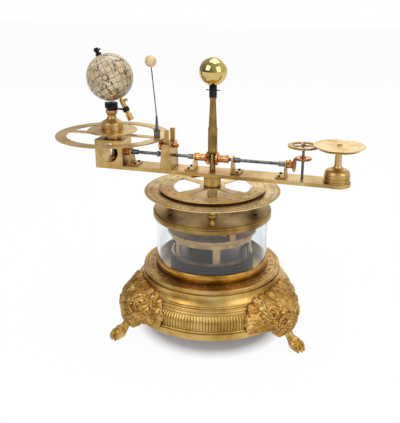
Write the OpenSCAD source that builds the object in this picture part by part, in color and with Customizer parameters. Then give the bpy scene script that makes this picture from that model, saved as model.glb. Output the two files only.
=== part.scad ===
// Planetary clock: a drum movement under glass on a gilt plinth, with a turning beam above it.
// The beam carries the globe and moon ring at its left end and a small dial at its right end.
// Frame: origin on the clock's axis at floor level, +Z up, +X along the beam to the dial.

/* [Plinth] */
// Radius of the plinth at its bottom band
plinth_r = 114; // [110:0.5:120]
// Height of the plinth's underside above the floor
foot_h = 31; // [29:0.5:34]
// Height of the bottom band
band_h = 12.6; // [11:0.2:15]
// Height of the fluted band
flute_h = 17.9; // [16:0.1:20]
// Number of flutes round the plinth
flute_n = 180; // [120:12:216]
// Radius of the fluted band at its top
flute_top_r = 106.3; // [105:0.1:107.5]
// Height of the mouldings over the flutes, up to the cove
mould_h = 9.2; // [8.8:0.1:11]
// Radius of the lip under the cove
lip_r = 101.1; // [100.4:0.1:101.4]
// Height of the cove, up to the groove under the chapter ring
cove_h = 12.3; // [11:0.1:14]
// Radius of the cove at its top
cove_top_r = 93.9; // [93.5:0.1:95]
// Wall thickness of the cast plinth
plinth_wall = 4; // [3:0.5:6]
// Thickness of the wooden underside plate
plate_t = 3; // [2:0.5:4]

/* [Feet] */
// Distance of the feet from the clock's axis
foot_pcd_r = 136; // [134:0.5:138]
// Direction of the first foot from the beam
foot_angle = -20; // [-40:1:0]
// Width of a paw
paw_w = 22; // [19:0.5:24]
// Height of a paw
paw_h = 17; // [15.5:0.5:18]
// Radius of the plinth-screw hole in each sole
sole_hole_r = 1.6; // [1.2:0.1:2.2]
// Depth of the plinth-screw hole
sole_hole_d = 9; // [6:1:12]
// Half width of the leaf mount over a foot, along the plinth's curve
mount_half_w = 66; // [60:0.5:68]
// Thickness of the leaf mount on the plinth
mount_t = 2.5; // [2:0.1:3.5]
// How far the mount's knee stands out from the clock's axis
knee_r = 128; // [126:0.5:129]

/* [Chapter ring] */
// Outer radius of the chapter ring
chapter_r = 93; // [92.5:0.1:94]
// Inner radius of the chapter ring
chapter_ri = 72; // [70:0.5:74]
// Thickness of the chapter ring
chapter_t = 5; // [4:0.1:6]

/* [Glass drum] */
// Outer radius of the glass cylinder
glass_r = 74.4; // [72:0.2:76]
// Wall thickness of the glass
glass_t = 2.6; // [2:0.2:4]
// Height of the glass cylinder
glass_h = 64.7; // [60:0.1:68]
// Outer radius of the bezel round the glass's foot
bezel_r = 76.3; // [76:0.1:78]
// Height of the bezel
bezel_h = 12.1; // [11.8:0.1:13]
// Outer radius of the cap's rim
cap_r = 78.7; // [78:0.1:80]
// Thickness of the drum cap's plate
cap_t = 3.2; // [2.5:0.1:4]
// Number of screws in the cap, and of screws under the chapter ring
ring_screw_n = 3; // [3:1:6]

/* [Movement] */
// Radius of the movement's plates
movement_r = 60; // [56:0.5:64]
// Radius of the windowed cage
cage_r = 55; // [52:0.5:57]
// Wall thickness of the cage
cage_wall = 2.4; // [1.8:0.1:4]
// Height of the cage
cage_h = 33; // [28:0.5:36]
// Number of windows in the cage
window_n = 6; // [5:1:8]
// Width of the posts between the windows
cage_post_w = 8.6; // [6:0.2:12]
// Height of the dark band that the movement stands on
movement_band_h = 17.7; // [14:0.1:20]
// Thickness of the movement's plates
movement_plate_t = 3; // [2:0.2:4]
// Teeth on the mainspring barrel
barrel_teeth = 60; // [54:6:66]
// Teeth on the centre pinion
centre_pinion_teeth = 15; // [14:1:18]
// Radius of the balance wheel
balance_r = 13; // [10:0.5:15]

/* [Dials on the drum] */
// Outer radius of the fixed outer dial
outer_dial_r = 89.8; // [86:0.2:94]
// Inner radius of the fixed outer dial
outer_dial_ri = 68; // [65:0.5:69]
// Thickness of both upper dials
dial_t = 1.2; // [1:0.1:2.4]
// Height of the pillars under the outer dial
dial_pillar_h = 23.8; // [22:0.1:28]
// Distance of the dial pillars from the axis
dial_pillar_pcd_r = 67; // [66:0.5:69]
// Number of dial pillars
dial_pillar_n = 3; // [3:1:4]
// Radius of the cup in the middle of a dial pillar
pillar_cup_r = 6.8; // [6:0.1:7.5]
// Radius of the turning hour wheel
hour_wheel_r = 70.5; // [66:0.5:74]
// Width of the hour wheel's rim, outside its openings
hour_rim_w = 19.5; // [14:0.5:24]
// Width of the hour wheel's spokes
hour_spoke_w = 11; // [8:0.5:14]
// Radius of the hour wheel's solid centre
hour_centre_r = 17; // [15:0.5:20]
// Gap between the outer dial and the hour wheel
dial_gap = 3.4; // [2.4:0.1:4]

/* [Sun column] */
// Radius of the column's lower stem, the bearing for beam and hour wheel
stem_r = 3.9; // [3.5:0.05:4]
// Radius of the upper column at its foot
column_r = 6.1; // [5:0.1:7]
// Radius of the upper column at its top
column_top_r = 3.85; // [3:0.05:5]
// Height of the parallel part of the upper column
column_straight_h = 29; // [24:0.5:34]
// Height of the tapered part of the upper column
column_taper_h = 39; // [34:0.5:46]
// Radius of the black sleeve under the sun
sleeve_r = 4.9; // [4:0.1:6]
// Height of the black sleeve
sleeve_h = 14.5; // [11:0.5:18]
// Radius of the sun ball
sun_r = 17.6; // [15:0.1:20]
// Length of the cross pin in the sleeve
cross_pin_len = 18.5; // [14:0.5:22]

/* [Beam] */
// Width of the beam
beam_w = 32; // [30:0.5:36]
// Thickness of the beam
beam_t = 4.9; // [4:0.1:6]
// Distance from the clock's axis to the Earth's axis
earth_x = 140.4; // [138:0.1:143]
// Distance from the clock's axis to the dial's axis
dial_x = 159.9; // [158:0.1:162]
// Radius of the beam's round end under the dial
beam_end_r = 17.3; // [16.8:0.1:19]
// Radius of the hub under the beam
hub_r = 11.4; // [9:0.1:14]
// Height of the hub under the beam
hub_h = 15.3; // [14:0.1:17]
// Height of the shafts' axis above the beam
shaft_h = 16.8; // [16:0.1:18]

/* [Bevel gears] */
// Module of the column's bevel gears and the Earth's
bevel_m = 1; // [0.95:0.01:1.03]
// Teeth on the fixed gear of the column, and on the Earth's arbor
sun_teeth = 12; // [12:2:14]
// Teeth on the shafts' bevel wheels
shaft_teeth = 18; // [18:2:20]
// Module of the right-hand bevel pair
right_bevel_m = 0.9; // [0.85:0.01:0.95]
// Teeth on the right shaft's outer bevel wheel
right_shaft_teeth = 20; // [18:2:20]
// Teeth on the right arbor's bevel wheel
arbor_teeth = 24; // [22:2:26]
// Face width of the bevel wheels
bevel_face = 2.5; // [2:0.1:2.6]

/* [Shafts] */
// Radius of both long shafts
shaft_r = 2.1; // [1.8:0.05:2.4]
// Radius of the thick sleeves on the shafts
shaft_sleeve_r = 3.4; // [3:0.1:4.2]
// Radius of the bevel wheels' hubs
bevel_hub_r = 4.7; // [4:0.1:5.4]
// Radius of the right arbor
arbor_r = 1.7; // [1.4:0.05:2.2]

/* [Brackets] */
// Thickness of a bearing bracket's upright
bracket_t = 2.2; // [1.8:0.1:2.6]
// Width of a bearing bracket's foot
bracket_w = 20; // [17:0.5:24]
// Length of a bearing bracket's foot
bracket_len = 12.6; // [11:0.2:14]
// Radius of the bearing eye
bracket_eye_r = 5.4; // [4.6:0.1:6]
// Radius of the screw heads
screw_head_r = 2; // [1.5:0.1:2.4]

/* [Right dial] */
// Module of the idler wheel and dial gear
wheel_m = 1.1; // [1.08:0.01:1.12]
// Teeth on the idler wheel
idler_teeth = 34; // [33:1:36]
// Teeth on the dial gear
dial_teeth = 44; // [42:2:46]
// Radius of the small dial
small_dial_r = 31.5; // [30:0.1:33]
// Thickness of the small dial
small_dial_t = 1.6; // [1.2:0.1:2.2]
// Thickness of the idler wheel and dial gear
wheel_t = 2.2; // [1.8:0.1:2.6]
// Height of the gears' underside above the beam
wheel_z = 40.6; // [39.5:0.1:42]
// Radius of the right pedestal's bell
bell_r = 15.9; // [14.5:0.1:16.5]
// Radius of the right pedestal's neck at its top
neck_r = 4; // [3.6:0.1:4.6]

/* [Earth block] */
// Length of the block along the beam
block_len = 39.5; // [38:0.5:42]
// Height of the block above the beam
block_h = 33.8; // [32.8:0.2:36]
// Radius of the round hole through the block
block_hole_r = 13.4; // [13.2:0.1:14]
// Radius of the Earth's vertical arbor
earth_arbor_r = 2.2; // [1.9:0.05:2.5]

/* [Earth pedestal] */
// Radius of the wide disc under the pedestal
wide_disc_r = 33.8; // [31:0.2:36]
// Radius of the pedestal's body
earth_body_r = 14.8; // [13:0.2:17]
// Radius of the pedestal's neck
earth_neck_r = 5.9; // [5.2:0.1:7]
// Height of the pedestal's collar top above the beam
pedestal_top_h = 72.6; // [70:0.2:75]

/* [Globe] */
// Radius of the globe
globe_r = 30.6; // [28:0.2:31]
// Thickness of the globe's shell
globe_shell = 1.8; // [1.2:0.1:3]
// Height of the globe's centre above the beam
globe_h = 114.9; // [114.4:0.1:117]
// Lean of the globe's axis from upright, in degrees
axis_tilt = 27; // [25:0.5:29]
// Radius of the globe's axle
axle_r = 1.3; // [1:0.05:1.6]
// Radius of the tube that the axle turns in
axis_tube_r = 3; // [2.6:0.1:3.6]

/* [Moon ring] */
// Outer radius of the moon ring
ring_r = 76.2; // [74:0.1:76.8]
// Width of the moon ring's rim
ring_w = 14.7; // [12:0.1:17]
// Thickness of the moon ring
ring_t = 1.6; // [1.2:0.1:2.4]
// Width of the bar across the ring
bar_w = 9.5; // [8:0.1:12]
// Height of the ring's underside above the beam
ring_h = 38.2; // [37.8:0.1:39]
// Distance of the moon's socket from the Earth's axis
moon_offset = 64; // [62:0.2:67]
// Radius of the moon
moon_r = 7.5; // [6:0.1:9]
// Height of the moon's centre above the ring
moon_h = 97.5; // [90:0.5:104]
// Lean of the moon's rod toward the globe at its top
moon_lean = 6.2; // [3:0.1:8]

/* [Ring bracket] */
// Distance from the clock's axis to the middle of the ring bracket
ring_bracket_x = 60; // [59.6:0.1:60.4]
// Length of the ring bracket at its foot
ring_bracket_len = 15; // [13.6:0.1:15.4]
// Height of the ring bracket's body
ring_bracket_h = 33.4; // [32:0.2:35]
// Height of the prongs above the beam
prong_h = 51.5; // [46:0.5:56]
// Radius of the copper roller under the ring
roller_r = 7.9; // [7.4:0.1:8]

/* [Clearances] */
// Radial running clearance of shafts and arbors in their bores
run_gap = 0.05; // [0.03:0.01:0.08]
// Gap between faces that turn past each other
face_gap = 0.3; // [0.2:0.05:0.5]

/* [Hidden] */
$fn = 96;

base_z = foot_h;
band_top = base_z + band_h;
flute_top = band_top + flute_h;
mould_top = flute_top + mould_h;
cove_top = mould_top + cove_h;
flange_t = 2;
chapter_z = cove_top + flange_t;
chapter_top = chapter_z + chapter_t;
bezel_neck_h = 6;
glass_z = chapter_top + bezel_neck_h;
glass_top = glass_z + glass_h;
rim_low = glass_top - 1.7;
cap_top = glass_top + 7.9;
cap_z = cap_top - cap_t;
dial_z = cap_top + dial_pillar_h;
dial_top = dial_z + dial_t;
hour_z = dial_top + dial_gap;
hour_top = hour_z + dial_t;
hub_z = hour_top + face_gap;
beam_z = hub_z + hub_h;
beam_top = beam_z + beam_t;
shaft_z = beam_top + shaft_h;
ring_z = beam_top + ring_h;
ring_top = ring_z + ring_t;
block_top = beam_top + block_h;
gear_z = beam_top + wheel_z;
gear_top = gear_z + wheel_t;
small_dial_z = gear_top + 1.6;
pedestal_top = beam_top + pedestal_top_h;
globe_z = beam_top + globe_h;
cage_z = chapter_z + movement_band_h + movement_plate_t;
cage_top = cage_z + cage_h;
cage_turn = -68;
window_w = 2 * cage_r * sin(180 / window_n) - cage_post_w;
balance_turn = -48;
balance_at = 38;
bridge_at = 52;
movement_top = cage_top + movement_plate_t;
tube_r = stem_r + 2.7;
gallery_set = 2;
gallery_wall = 4.8;
gallery_ri = min(plinth_r - gallery_set, flute_top_r) - gallery_wall;
dial_edge = 0.35;
tooth_add = 0.6;
tooth_ded = 0.95;
gear_rim = 1.15;
outer_left_x = -114.5;
inner_left_x = -24.8;
inner_right_x = 26.4;
outer_right_x = 95;
hub_out = 22;
centre_wheel_r = 19.6;
side_pitch_r = shaft_teeth * bevel_m / 2;
sun_pitch_r = sun_teeth * bevel_m / 2;
column_z = shaft_z + side_pitch_r + 2.1;
taper_z = column_z + column_straight_h;
sleeve_z = taper_z + column_taper_h;
sleeve_top = sleeve_z + sleeve_h;
sun_z = sleeve_top + sqrt(sun_r * sun_r - sleeve_r * sleeve_r);
arbor_pitch_r = arbor_teeth * right_bevel_m / 2;
idler_r = idler_teeth * wheel_m / 2;
arbor_x = dial_x - (idler_teeth + dial_teeth) * wheel_m / 2;
train_m = 0.6;
train_turn = 150;
centre_arbor_r = 1.5;
barrel_arbor_r = 2.2;
staff_r = 0.8;
cap_screw_turn = -133;
cap_screw_pcd_r = 63.5;
groove_screw_turn = -135.5;
dial_pillar_turn = -74;
train_a = (barrel_teeth + centre_pinion_teeth) * train_m / 2;
roller_z = ring_z - 0.2 - roller_r;
leaf_lift = 0.2;
cove_arc_r = 17.5;
cove_low_turn = asin((cove_h - 0.4) / cove_arc_r);
groove_r = chapter_r - 1.2;
gallery_steps = [0, 0.4, 0.65, 0.85, 1];
knee_in = 10;
knee_x = plinth_r - knee_in;
room_step = 0.15;
spigot_r = 8;
tube_low = 52;
pedestal_neck_h = wheel_z - 0.4;

function arc_points(cx, cy, r, a0, a1, n) =
  [for (i = [0 : n]) [cx + r * cos(a0 + (a1 - a0) * i / n), cy + r * sin(a0 + (a1 - a0) * i / n)]];

// Involute of an angle, in degrees
function involute(a) = tan(a) * 180 / PI - a;

// Half the angle that a tooth spans at radius r
function tooth_half(n, m, r, play) =
  90 / n - play / (n * m) * 90 / PI + involute(20)
  - involute(acos(min(1, n * m / 2 * cos(20) / r)));

// One tooth's outline, root to root
function tooth_points(n, m, play, at) =
  let (rp = n * m / 2, ra = rp + 0.85 * m, rf = rp - 1.1 * m, rb = max(rf + 0.05 * m, rp * cos(20)))
  let (radii = [rf, rb, (rb + rp) / 2, rp, (rp + ra) / 2, ra])
  concat(
    [for (i = [0 : 5]) let (r = radii[i], h = tooth_half(n, m, max(r, rb), play))
      [r * cos(at - h), r * sin(at - h)]],
    [for (i = [5 : -1 : 0]) let (r = radii[i], h = tooth_half(n, m, max(r, rb), play))
      [r * cos(at + h), r * sin(at + h)]]);

module spur_outline(n, m, play = 0.16) {
  polygon([for (k = [0 : n - 1]) each tooth_points(n, m, play, k * 360 / n)]);
}

// Crossed-out wheel: rim, spokes and centre, left open between
module crossing(r_in, centre_r, spoke_w, count = 4, turn = 45) {
  difference() {
    circle(r_in);
    circle(centre_r);
    for (k = [0 : count - 1])
      rotate(turn + k * 360 / count) translate([0, -spoke_w / 2]) square([r_in + 1, spoke_w]);
  }
}

// Bevel wheel on +Z with its apex at the origin, its hub ending at hub_end from there;
// a tooth, or with gap_first a gap, faces +X
module bevel(n, mate, m, bore, hub_r, hub_end, gap_first = false) {
  r = n * m / 2;
  h = mate * m / 2;
  cone = sqrt(r * r + h * h);
  lean = atan(r / h);
  shrink = (cone - bevel_face) / cone;
  add = tooth_add * m;
  ded = tooth_ded * m;
  out = [cos(lean), -sin(lean)];
  big = [r, h];
  small = big * shrink;
  tip_big = big + add * out;
  tip_small = small + add * shrink * out;
  in_small = small - (ded * shrink + gear_rim) * out;
  in_big = big - (ded + gear_rim) * out;
  rise = in_small[0] > bore + 0.6 ? [[bore, in_small[1]], in_small] : [[bore, tip_small[1]]];
  back = in_big[0] > hub_r + 0.3 ? [in_big, [hub_r, in_big[1]]] : [[hub_r, tip_big[1]]];
  difference() {
    rotate_extrude() polygon(concat(rise, [tip_small, tip_big], back,
      [[hub_r, hub_end - 0.4], [hub_r - 0.4, hub_end], [bore, hub_end]]));
    for (k = [0 : n - 1])
      rotate([0, 0, (k + (gap_first ? 0 : 0.5)) * 360 / n])
        rotate([0, lean - atan(ded / cone), 0])
          translate([0, 0, cone - bevel_face - 2.2])
            linear_extrude(bevel_face + 4.4)
              polygon([[0, 0], [3 * m, 3 * m * tooth_slope(m)], [3 * m, -3 * m * tooth_slope(m)]]);
  }
}

// Half width of a tooth gap for each unit of depth, backlash included
function tooth_slope(m) = (PI * m / 2 + 0.25) / 2 / (tooth_ded * m);

// Set screw that stands out of a hub, at the given distance along its axis
module set_screw(at, hub) {
  translate([0, 0, at]) rotate([0, 90, 0]) cylinder(r = 1.1, h = hub + 1.3, $fn = 32);
}

module ring2d(ro, ri) {
  difference() {
    circle(ro);
    circle(ri);
  }
}

module tube(ro, ri, h) {
  linear_extrude(h) ring2d(ro, ri);
}

// Cast plinth: bottom band with its bead, seat for the fluted gallery, mouldings, cove and top plate
module plinth_casting() {
  inner_r = gallery_ri - plinth_wall;
  floor_r = plinth_r - plinth_wall;
  cove_in_r = cove_top_r - plinth_wall;
  lip_in_r = lip_r - plinth_wall - 7.2;
  color("#B8923E") rotate_extrude() polygon(concat(
    [[floor_r, base_z], [plinth_r - 1, base_z], [plinth_r, base_z + 1], [plinth_r, band_top - 3.4]],
    [[plinth_r - 1.1, band_top - 2.9], [plinth_r - 1.1, band_top - 2.4]],
    arc_points(plinth_r - 1.3, band_top - 1.25, 1.25, -60, 90, 5),
    [[gallery_ri, band_top], [gallery_ri, flute_top], [flute_top_r - 0.7, flute_top]],
    arc_points(flute_top_r - 0.7, flute_top + 2.6, 1.8, 265, 180, 3),
    arc_points(flute_top_r - 3.4, flute_top + 3.9, 1.1, -60, 80, 4),
    [[flute_top_r - 4.1, flute_top + 5.1], [lip_r + 0.5, mould_top - 3.3], [lip_r + 0.5, mould_top - 2.5]],
    arc_points(lip_r - 1.2, mould_top - 1.2, 1.2, -50, 90, 4),
    arc_points(cove_top_r + cove_arc_r, cove_top, cove_arc_r, 180 + cove_low_turn, 182, 8),
    [[cove_top_r - 0.6, cove_top], [groove_r, cove_top], [groove_r, chapter_z], [30, chapter_z]],
    [[30, chapter_z - plinth_wall], [cove_in_r - 1.4, chapter_z - plinth_wall]],
    [[cove_in_r + 0.6, cove_top - 7], [min(cove_in_r, lip_in_r) + 3.6, mould_top + 0.3]],
    [[inner_r, flute_top + 4.5], [inner_r, band_top]],
    [[floor_r - 4, band_top - 4], [floor_r - 4, base_z + plate_t], [floor_r, base_z + plate_t]]));
}

// Outer radius of the fluted gallery, from its foot (0) to its top (1): upright, then rounding inward
function gallery_r(t) =
  flute_top_r + (plinth_r - gallery_set - flute_top_r) * (1 - pow(max(0, (t - 0.38) / 0.62), 2.2));

// Fluted gallery: an upright band with a rounded shoulder and upright hollows
module fluted_gallery() {
  foot_r = plinth_r - gallery_set;
  step = 360 / flute_n;
  color("#C19A45") intersection() {
    rotate_extrude() polygon(concat(
      [[gallery_ri, band_top]],
      [for (t = gallery_steps) [gallery_r(t), band_top + flute_h * t]],
      [[gallery_ri, flute_top]]));
    translate([0, 0, band_top - 1]) linear_extrude(flute_h + 2) difference() {
      polygon([for (k = [0 : flute_n - 1]) each [
        [(foot_r + 3) * cos((k - 0.2) * step), (foot_r + 3) * sin((k - 0.2) * step)],
        [(foot_r + 3) * cos((k + 0.2) * step), (foot_r + 3) * sin((k + 0.2) * step)],
        [(flute_top_r - 1) * cos((k + 0.5) * step), (flute_top_r - 1) * sin((k + 0.5) * step)]]]);
      circle(gallery_ri - 1);
    }
  }
}

// Wooden plate let into the underside
module underside_plate() {
  color("#5A3B22") translate([0, 0, base_z]) cylinder(r = plinth_r - plinth_wall, h = plate_t);
}

// A point of the mount's outline: distance along the plinth's curve and height, seen from outside
function leaf_point(p) =
  let (turn = p[0] * mount_half_w / 66 / plinth_r * 180 / PI)
  [plinth_r * sin(turn), base_z + p[1]];

// Half outline of the leaf mount, scalloped, from the middle of its top to the middle of its foot
leaf_half = concat(
  [[0, 45.5], [5, 43.6]],
  arc_points(13, 38, 6.2, 110, 20, 3),
  arc_points(26, 36.4, 6.4, 115, 15, 3),
  arc_points(39, 33.4, 6.6, 115, 10, 3),
  arc_points(51, 29.4, 6.8, 110, 10, 3),
  arc_points(59, 20.5, 7, 80, -40, 4),
  arc_points(57, 12.6, 6.4, 15, -80, 3),
  arc_points(46.5, 10.2, 6.4, -20, -110, 3),
  arc_points(36, 10, 6, -45, -120, 3),
  [[28.5, 6.5], [24, 0.8]],
  arc_points(17, -3, 5.5, 0, -110, 4),
  [[12, -8.5], [9, -6]]);

module leaf_outline() {
  polygon(concat(
    [for (p = leaf_half) leaf_point(p)],
    [for (i = [len(leaf_half) - 1 : -1 : 1]) leaf_point([-leaf_half[i][0], leaf_half[i][1]])]));
}

// Section of the leaf mount over the plinth, before the plinth's own shape is cut out of it
module leaf_section() {
  polygon([[plinth_r - 6, base_z - 12], [plinth_r + mount_t, base_z - 12], [plinth_r + mount_t, band_top],
    [gallery_r(0.4) + mount_t, band_top + flute_h * 0.4],
    [gallery_r(0.7) + mount_t, band_top + flute_h * 0.7],
    [gallery_r(0.9) + mount_t, band_top + flute_h * 0.9], [flute_top_r + mount_t - 0.3, flute_top + 1.4],
    [max(flute_top_r + 0.4, lip_r + 5.6), flute_top + 5],
    [max(lip_r + mount_t, cove_top_r + 7.2 + mount_t), mould_top - 0.6],
    [max(lip_r + 0.4, cove_top_r + 7.6), mould_top + 2.6],
    [cove_top_r + 4.2, mould_top + 7], [cove_top_r - 3, mould_top + 7], [cove_top_r - 3, base_z],
    [plinth_r - 6, base_z]]);
}

// Half section of the mount's knee, turned about an upright axis near the plinth's edge
module knee_section() {
  out = knee_r - knee_x;
  polygon([[0, base_z - 5], [out * 0.58, base_z - 5], [out * 0.87, base_z - 1], [out, base_z + 7],
    [out * 0.98, base_z + 15], [out * 0.83, base_z + 24], [out * 0.63, base_z + 32],
    [out * 0.42, base_z + 39],
    [out * 0.21, base_z + 44], [out * 0.08, base_z + 45], [0, base_z + 45]]);
}

// Section of the room that the plinth takes out of the feet, larger than the plinth by a hair and by more
module plinth_room(more = 0) {
  side_r = plinth_r + leaf_lift + more;
  polygon(concat(
    [[knee_x / 2, base_z - more], [side_r, base_z - more], [side_r, band_top - 0.4]],
    [[plinth_r - 1.1, band_top + leaf_lift]],
    [for (t = gallery_steps) [gallery_r(t) + leaf_lift, band_top + flute_h * t + (t == 0 ? leaf_lift : 0)]],
    [[flute_top_r - 0.5, flute_top + 0.7], [flute_top_r - 2.1, flute_top + 2.8]],
    [[flute_top_r - 2.1, flute_top + 4.6], [flute_top_r - 3.8, flute_top + 5.5]],
    [[lip_r + 0.7, mould_top - 3.2], [lip_r + 0.7, mould_top - 2.3], [lip_r + 0.15, mould_top - 1.6]],
    [[lip_r + 0.15, mould_top - 0.2], [lip_r - 1.1, mould_top + leaf_lift]],
    [[cove_top_r + 4.9, mould_top + 0.5], [cove_top_r + 3, mould_top + 3.6], [cove_top_r + 2, mould_top + 6]],
    [[cove_top_r + 2, mould_top + 8], [knee_x / 2, mould_top + 8]]));
}

module leg(a, b, ra, rb, fn) {
  hull() {
    translate(a) sphere(ra, $fn = fn);
    translate(b) sphere(rb, $fn = fn);
  }
}

// Leaf mount: a thick sheet over the plinth, cut to its outline
module leaf_mount() {
  intersection() {
    rotate([0, 0, -35]) rotate_extrude(angle = 70) difference() {
      leaf_section();
      plinth_room();
    }
    rotate([90, 0, 90]) linear_extrude(plinth_r + 40) leaf_outline();
  }
}

// Foot: lion's paw under a leaf mount with a round knee; its flat sole has a blind hole for a plinth screw
module foot(angle) {
  toe_r = paw_w / 6.2;
  toe_gap = paw_w / 4.9;
  ball_r = (paw_h + 2) / 2;
  x0 = foot_pcd_r;
  color("#B98F3A") rotate([0, 0, angle]) difference() {
    union() {
      leaf_mount();
      difference() {
        union() {
          translate([knee_x, 0, 0]) rotate_extrude($fn = 48) knee_section();
          leg([knee_r - 11, 0, base_z - 3], [x0 - 8, 0, paw_h + 3], 8, 5, 20);
        }
        rotate_extrude() plinth_room(room_step);
      }
      intersection() {
        union() {
          leg([x0 - 8, 0, paw_h + 3], [x0 - 3, 0, paw_h - 7], 5, 7.5, 20);
          translate([x0 - 0.5, 0, paw_h - ball_r]) sphere(ball_r, $fn = 32);
          for (k = [-1.5 : 1 : 1.5])
            leg([x0 + 2, k * toe_gap * 0.9, 6], [x0 + 7 - abs(k) * 1.7, k * toe_gap, 3.2],
              toe_r + 1, toe_r, 14);
        }
        translate([x0 - 40, -40, 0]) cube([80, 80, 80]);
      }
    }
    translate([x0, 0, -1]) cylinder(r = sole_hole_r, h = sole_hole_d + 1, $fn = 32);
  }
}

module foot_right() { foot(foot_angle); }

module foot_left() { foot(foot_angle - 120); }

module foot_rear() { foot(foot_angle - 240); }

// Chapter ring: a flat ring with a rounded upper edge
module chapter_ring() {
  color("#A8884A") translate([0, 0, chapter_z]) rotate_extrude() polygon(concat(
    [[chapter_ri, 0], [chapter_r - 0.5, 0], [chapter_r, 0.5]],
    arc_points(chapter_r - 1.2, chapter_t - 1.2, 1.2, 0, 90, 5),
    [[chapter_ri, chapter_t]]));
}

// Heads of the cap's screws, and of the screws in the groove under the chapter ring
module ring_screws() {
  color("#2A2522") union() {
    for (k = [0 : ring_screw_n - 1]) rotate([0, 0, cap_screw_turn + k * 360 / ring_screw_n])
      translate([cap_screw_pcd_r, 0, cap_top]) cylinder(r = 2.2, h = 0.8);
    difference() {
      for (k = [0 : ring_screw_n - 1]) rotate([0, 0, groove_screw_turn + k * 360 / ring_screw_n])
        translate([groove_r, 0, cove_top]) cylinder(r = 2, h = flange_t, $fn = 32);
      translate([0, 0, cove_top - 1]) cylinder(r = groove_r, h = flange_t + 2);
    }
  }
}

// Bezel that holds the foot of the glass: a nearly upright wall with a rounded lip
module lower_bezel() {
  seat_r = glass_r + 0.02;
  color("#C9A24C") rotate_extrude() polygon(concat(
    [[glass_r - glass_t - 0.8, chapter_top], [bezel_r - 0.9, chapter_top]],
    arc_points(bezel_r - 14, chapter_top + 6.2, 14, -17, 14, 5),
    arc_points(bezel_r - 2.3, chapter_top + bezel_h - 1.9, 1.9, 0, 70, 4),
    [[seat_r, chapter_top + bezel_h], [seat_r, glass_z], [glass_r - glass_t - 0.8, glass_z]]));
}

module glass_cylinder() {
  color("#DCE8EA", 0.35) translate([0, 0, glass_z]) tube(glass_r, glass_r - glass_t, glass_h);
}

// Dark band and lower plate under the movement
module movement_base() {
  color("#2E3440") translate([0, 0, chapter_z]) difference() {
    union() {
      tube(cage_r + 2, cage_r - 4, movement_band_h);
      translate([0, 0, movement_band_h]) cylinder(r = cage_r + 1, h = movement_plate_t);
    }
    train_bores(-1, 60);
  }
}

module train_bores(z, h) {
  translate([0, 0, z]) cylinder(r = centre_arbor_r + run_gap, h = h, $fn = 48);
  rotate([0, 0, train_turn]) translate([train_a, 0, z])
    cylinder(r = barrel_arbor_r + run_gap, h = h, $fn = 48);
}

// Cage round the movement, with upright windows
module movement_cage() {
  color("#C6A052") translate([0, 0, cage_z]) difference() {
    tube(cage_r, cage_r - cage_wall, cage_h);
    for (k = [0 : window_n - 1])
      rotate([0, 0, cage_turn + (k + 0.5) * 360 / window_n])
        translate([cage_r / 2, -window_w / 2, 3.5]) cube([cage_r, window_w, cage_h - 12.5]);
  }
}

// Upper plate with the raised motion-work cover
module movement_top_plate() {
  color("#BF9A4E") difference() {
    union() {
      translate([0, 0, cage_top]) cylinder(r = movement_r, h = movement_plate_t);
      translate([0, 0, cage_top + 1]) cylinder(r = 13, h = movement_plate_t + 2);
      rotate([0, 0, balance_turn]) {
        translate([balance_at, 0, cage_top + 1]) cylinder(r = 3.2, h = movement_plate_t);
        translate([bridge_at, -4, cage_top + 1]) cube([7, 8, movement_plate_t + 7]);
        translate([balance_at, -4, movement_top + 7]) cube([bridge_at + 7 - balance_at, 8, 2]);
        translate([balance_at, 0, movement_top + 7]) cylinder(r = 4, h = 2);
      }
    }
    rotate([0, 0, balance_turn]) translate([balance_at, 0, cage_top - 1])
      cylinder(r = staff_r + run_gap, h = 30, $fn = 32);
    rotate([0, 0, train_turn]) translate([train_a, 0, cage_top - 1])
      cylinder(r = barrel_arbor_r + run_gap, h = 30, $fn = 48);
    translate([0, 0, cage_top - 1])
      cylinder(r = centre_arbor_r + run_gap, h = movement_plate_t + 1, $fn = 48);
  }
}

// Balance wheel with its staff, hand-swung by the hairspring
module balance_wheel() {
  color("#D7B36A") rotate([0, 0, balance_turn]) translate([balance_at, 0, movement_top]) {
    translate([0, 0, 3.4]) linear_extrude(1.6) difference() {
      circle(balance_r);
      crossing(balance_r - 1.6, 2, 1.8, 2, 20);
    }
    translate([0, 0, 1 - movement_plate_t]) cylinder(r = staff_r, h = 10.5, $fn = 32);
  }
}

// Barrel that holds the mainspring, toothed round its foot
module mainspring_barrel() {
  color("#B68D45") rotate([0, 0, train_turn]) translate([train_a, 0, cage_z]) {
    translate([0, 0, 2]) linear_extrude(3) spur_outline(barrel_teeth, train_m);
    translate([0, 0, 5]) cylinder(r = barrel_teeth * train_m / 2 - 1.2, h = 17);
    translate([0, 0, -movement_plate_t])
      cylinder(r = barrel_arbor_r, h = cage_h + 2 * movement_plate_t, $fn = 48);
  }
}

// Centre wheel with its pinion and arbor
module centre_wheel() {
  color("#CDAA5E") translate([0, 0, cage_z]) {
    translate([0, 0, 1]) rotate([0, 0, train_turn + 180 / centre_pinion_teeth])
      linear_extrude(5) spur_outline(centre_pinion_teeth, train_m);
    translate([0, 0, 25.5]) linear_extrude(1.6) difference() {
      circle(centre_wheel_r);
      crossing(centre_wheel_r - 2.5, 4, 3, 4, 0);
    }
    translate([0, 0, -movement_plate_t])
      cylinder(r = centre_arbor_r, h = cage_h + 2 * movement_plate_t - 0.4, $fn = 48);
  }
}

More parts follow.
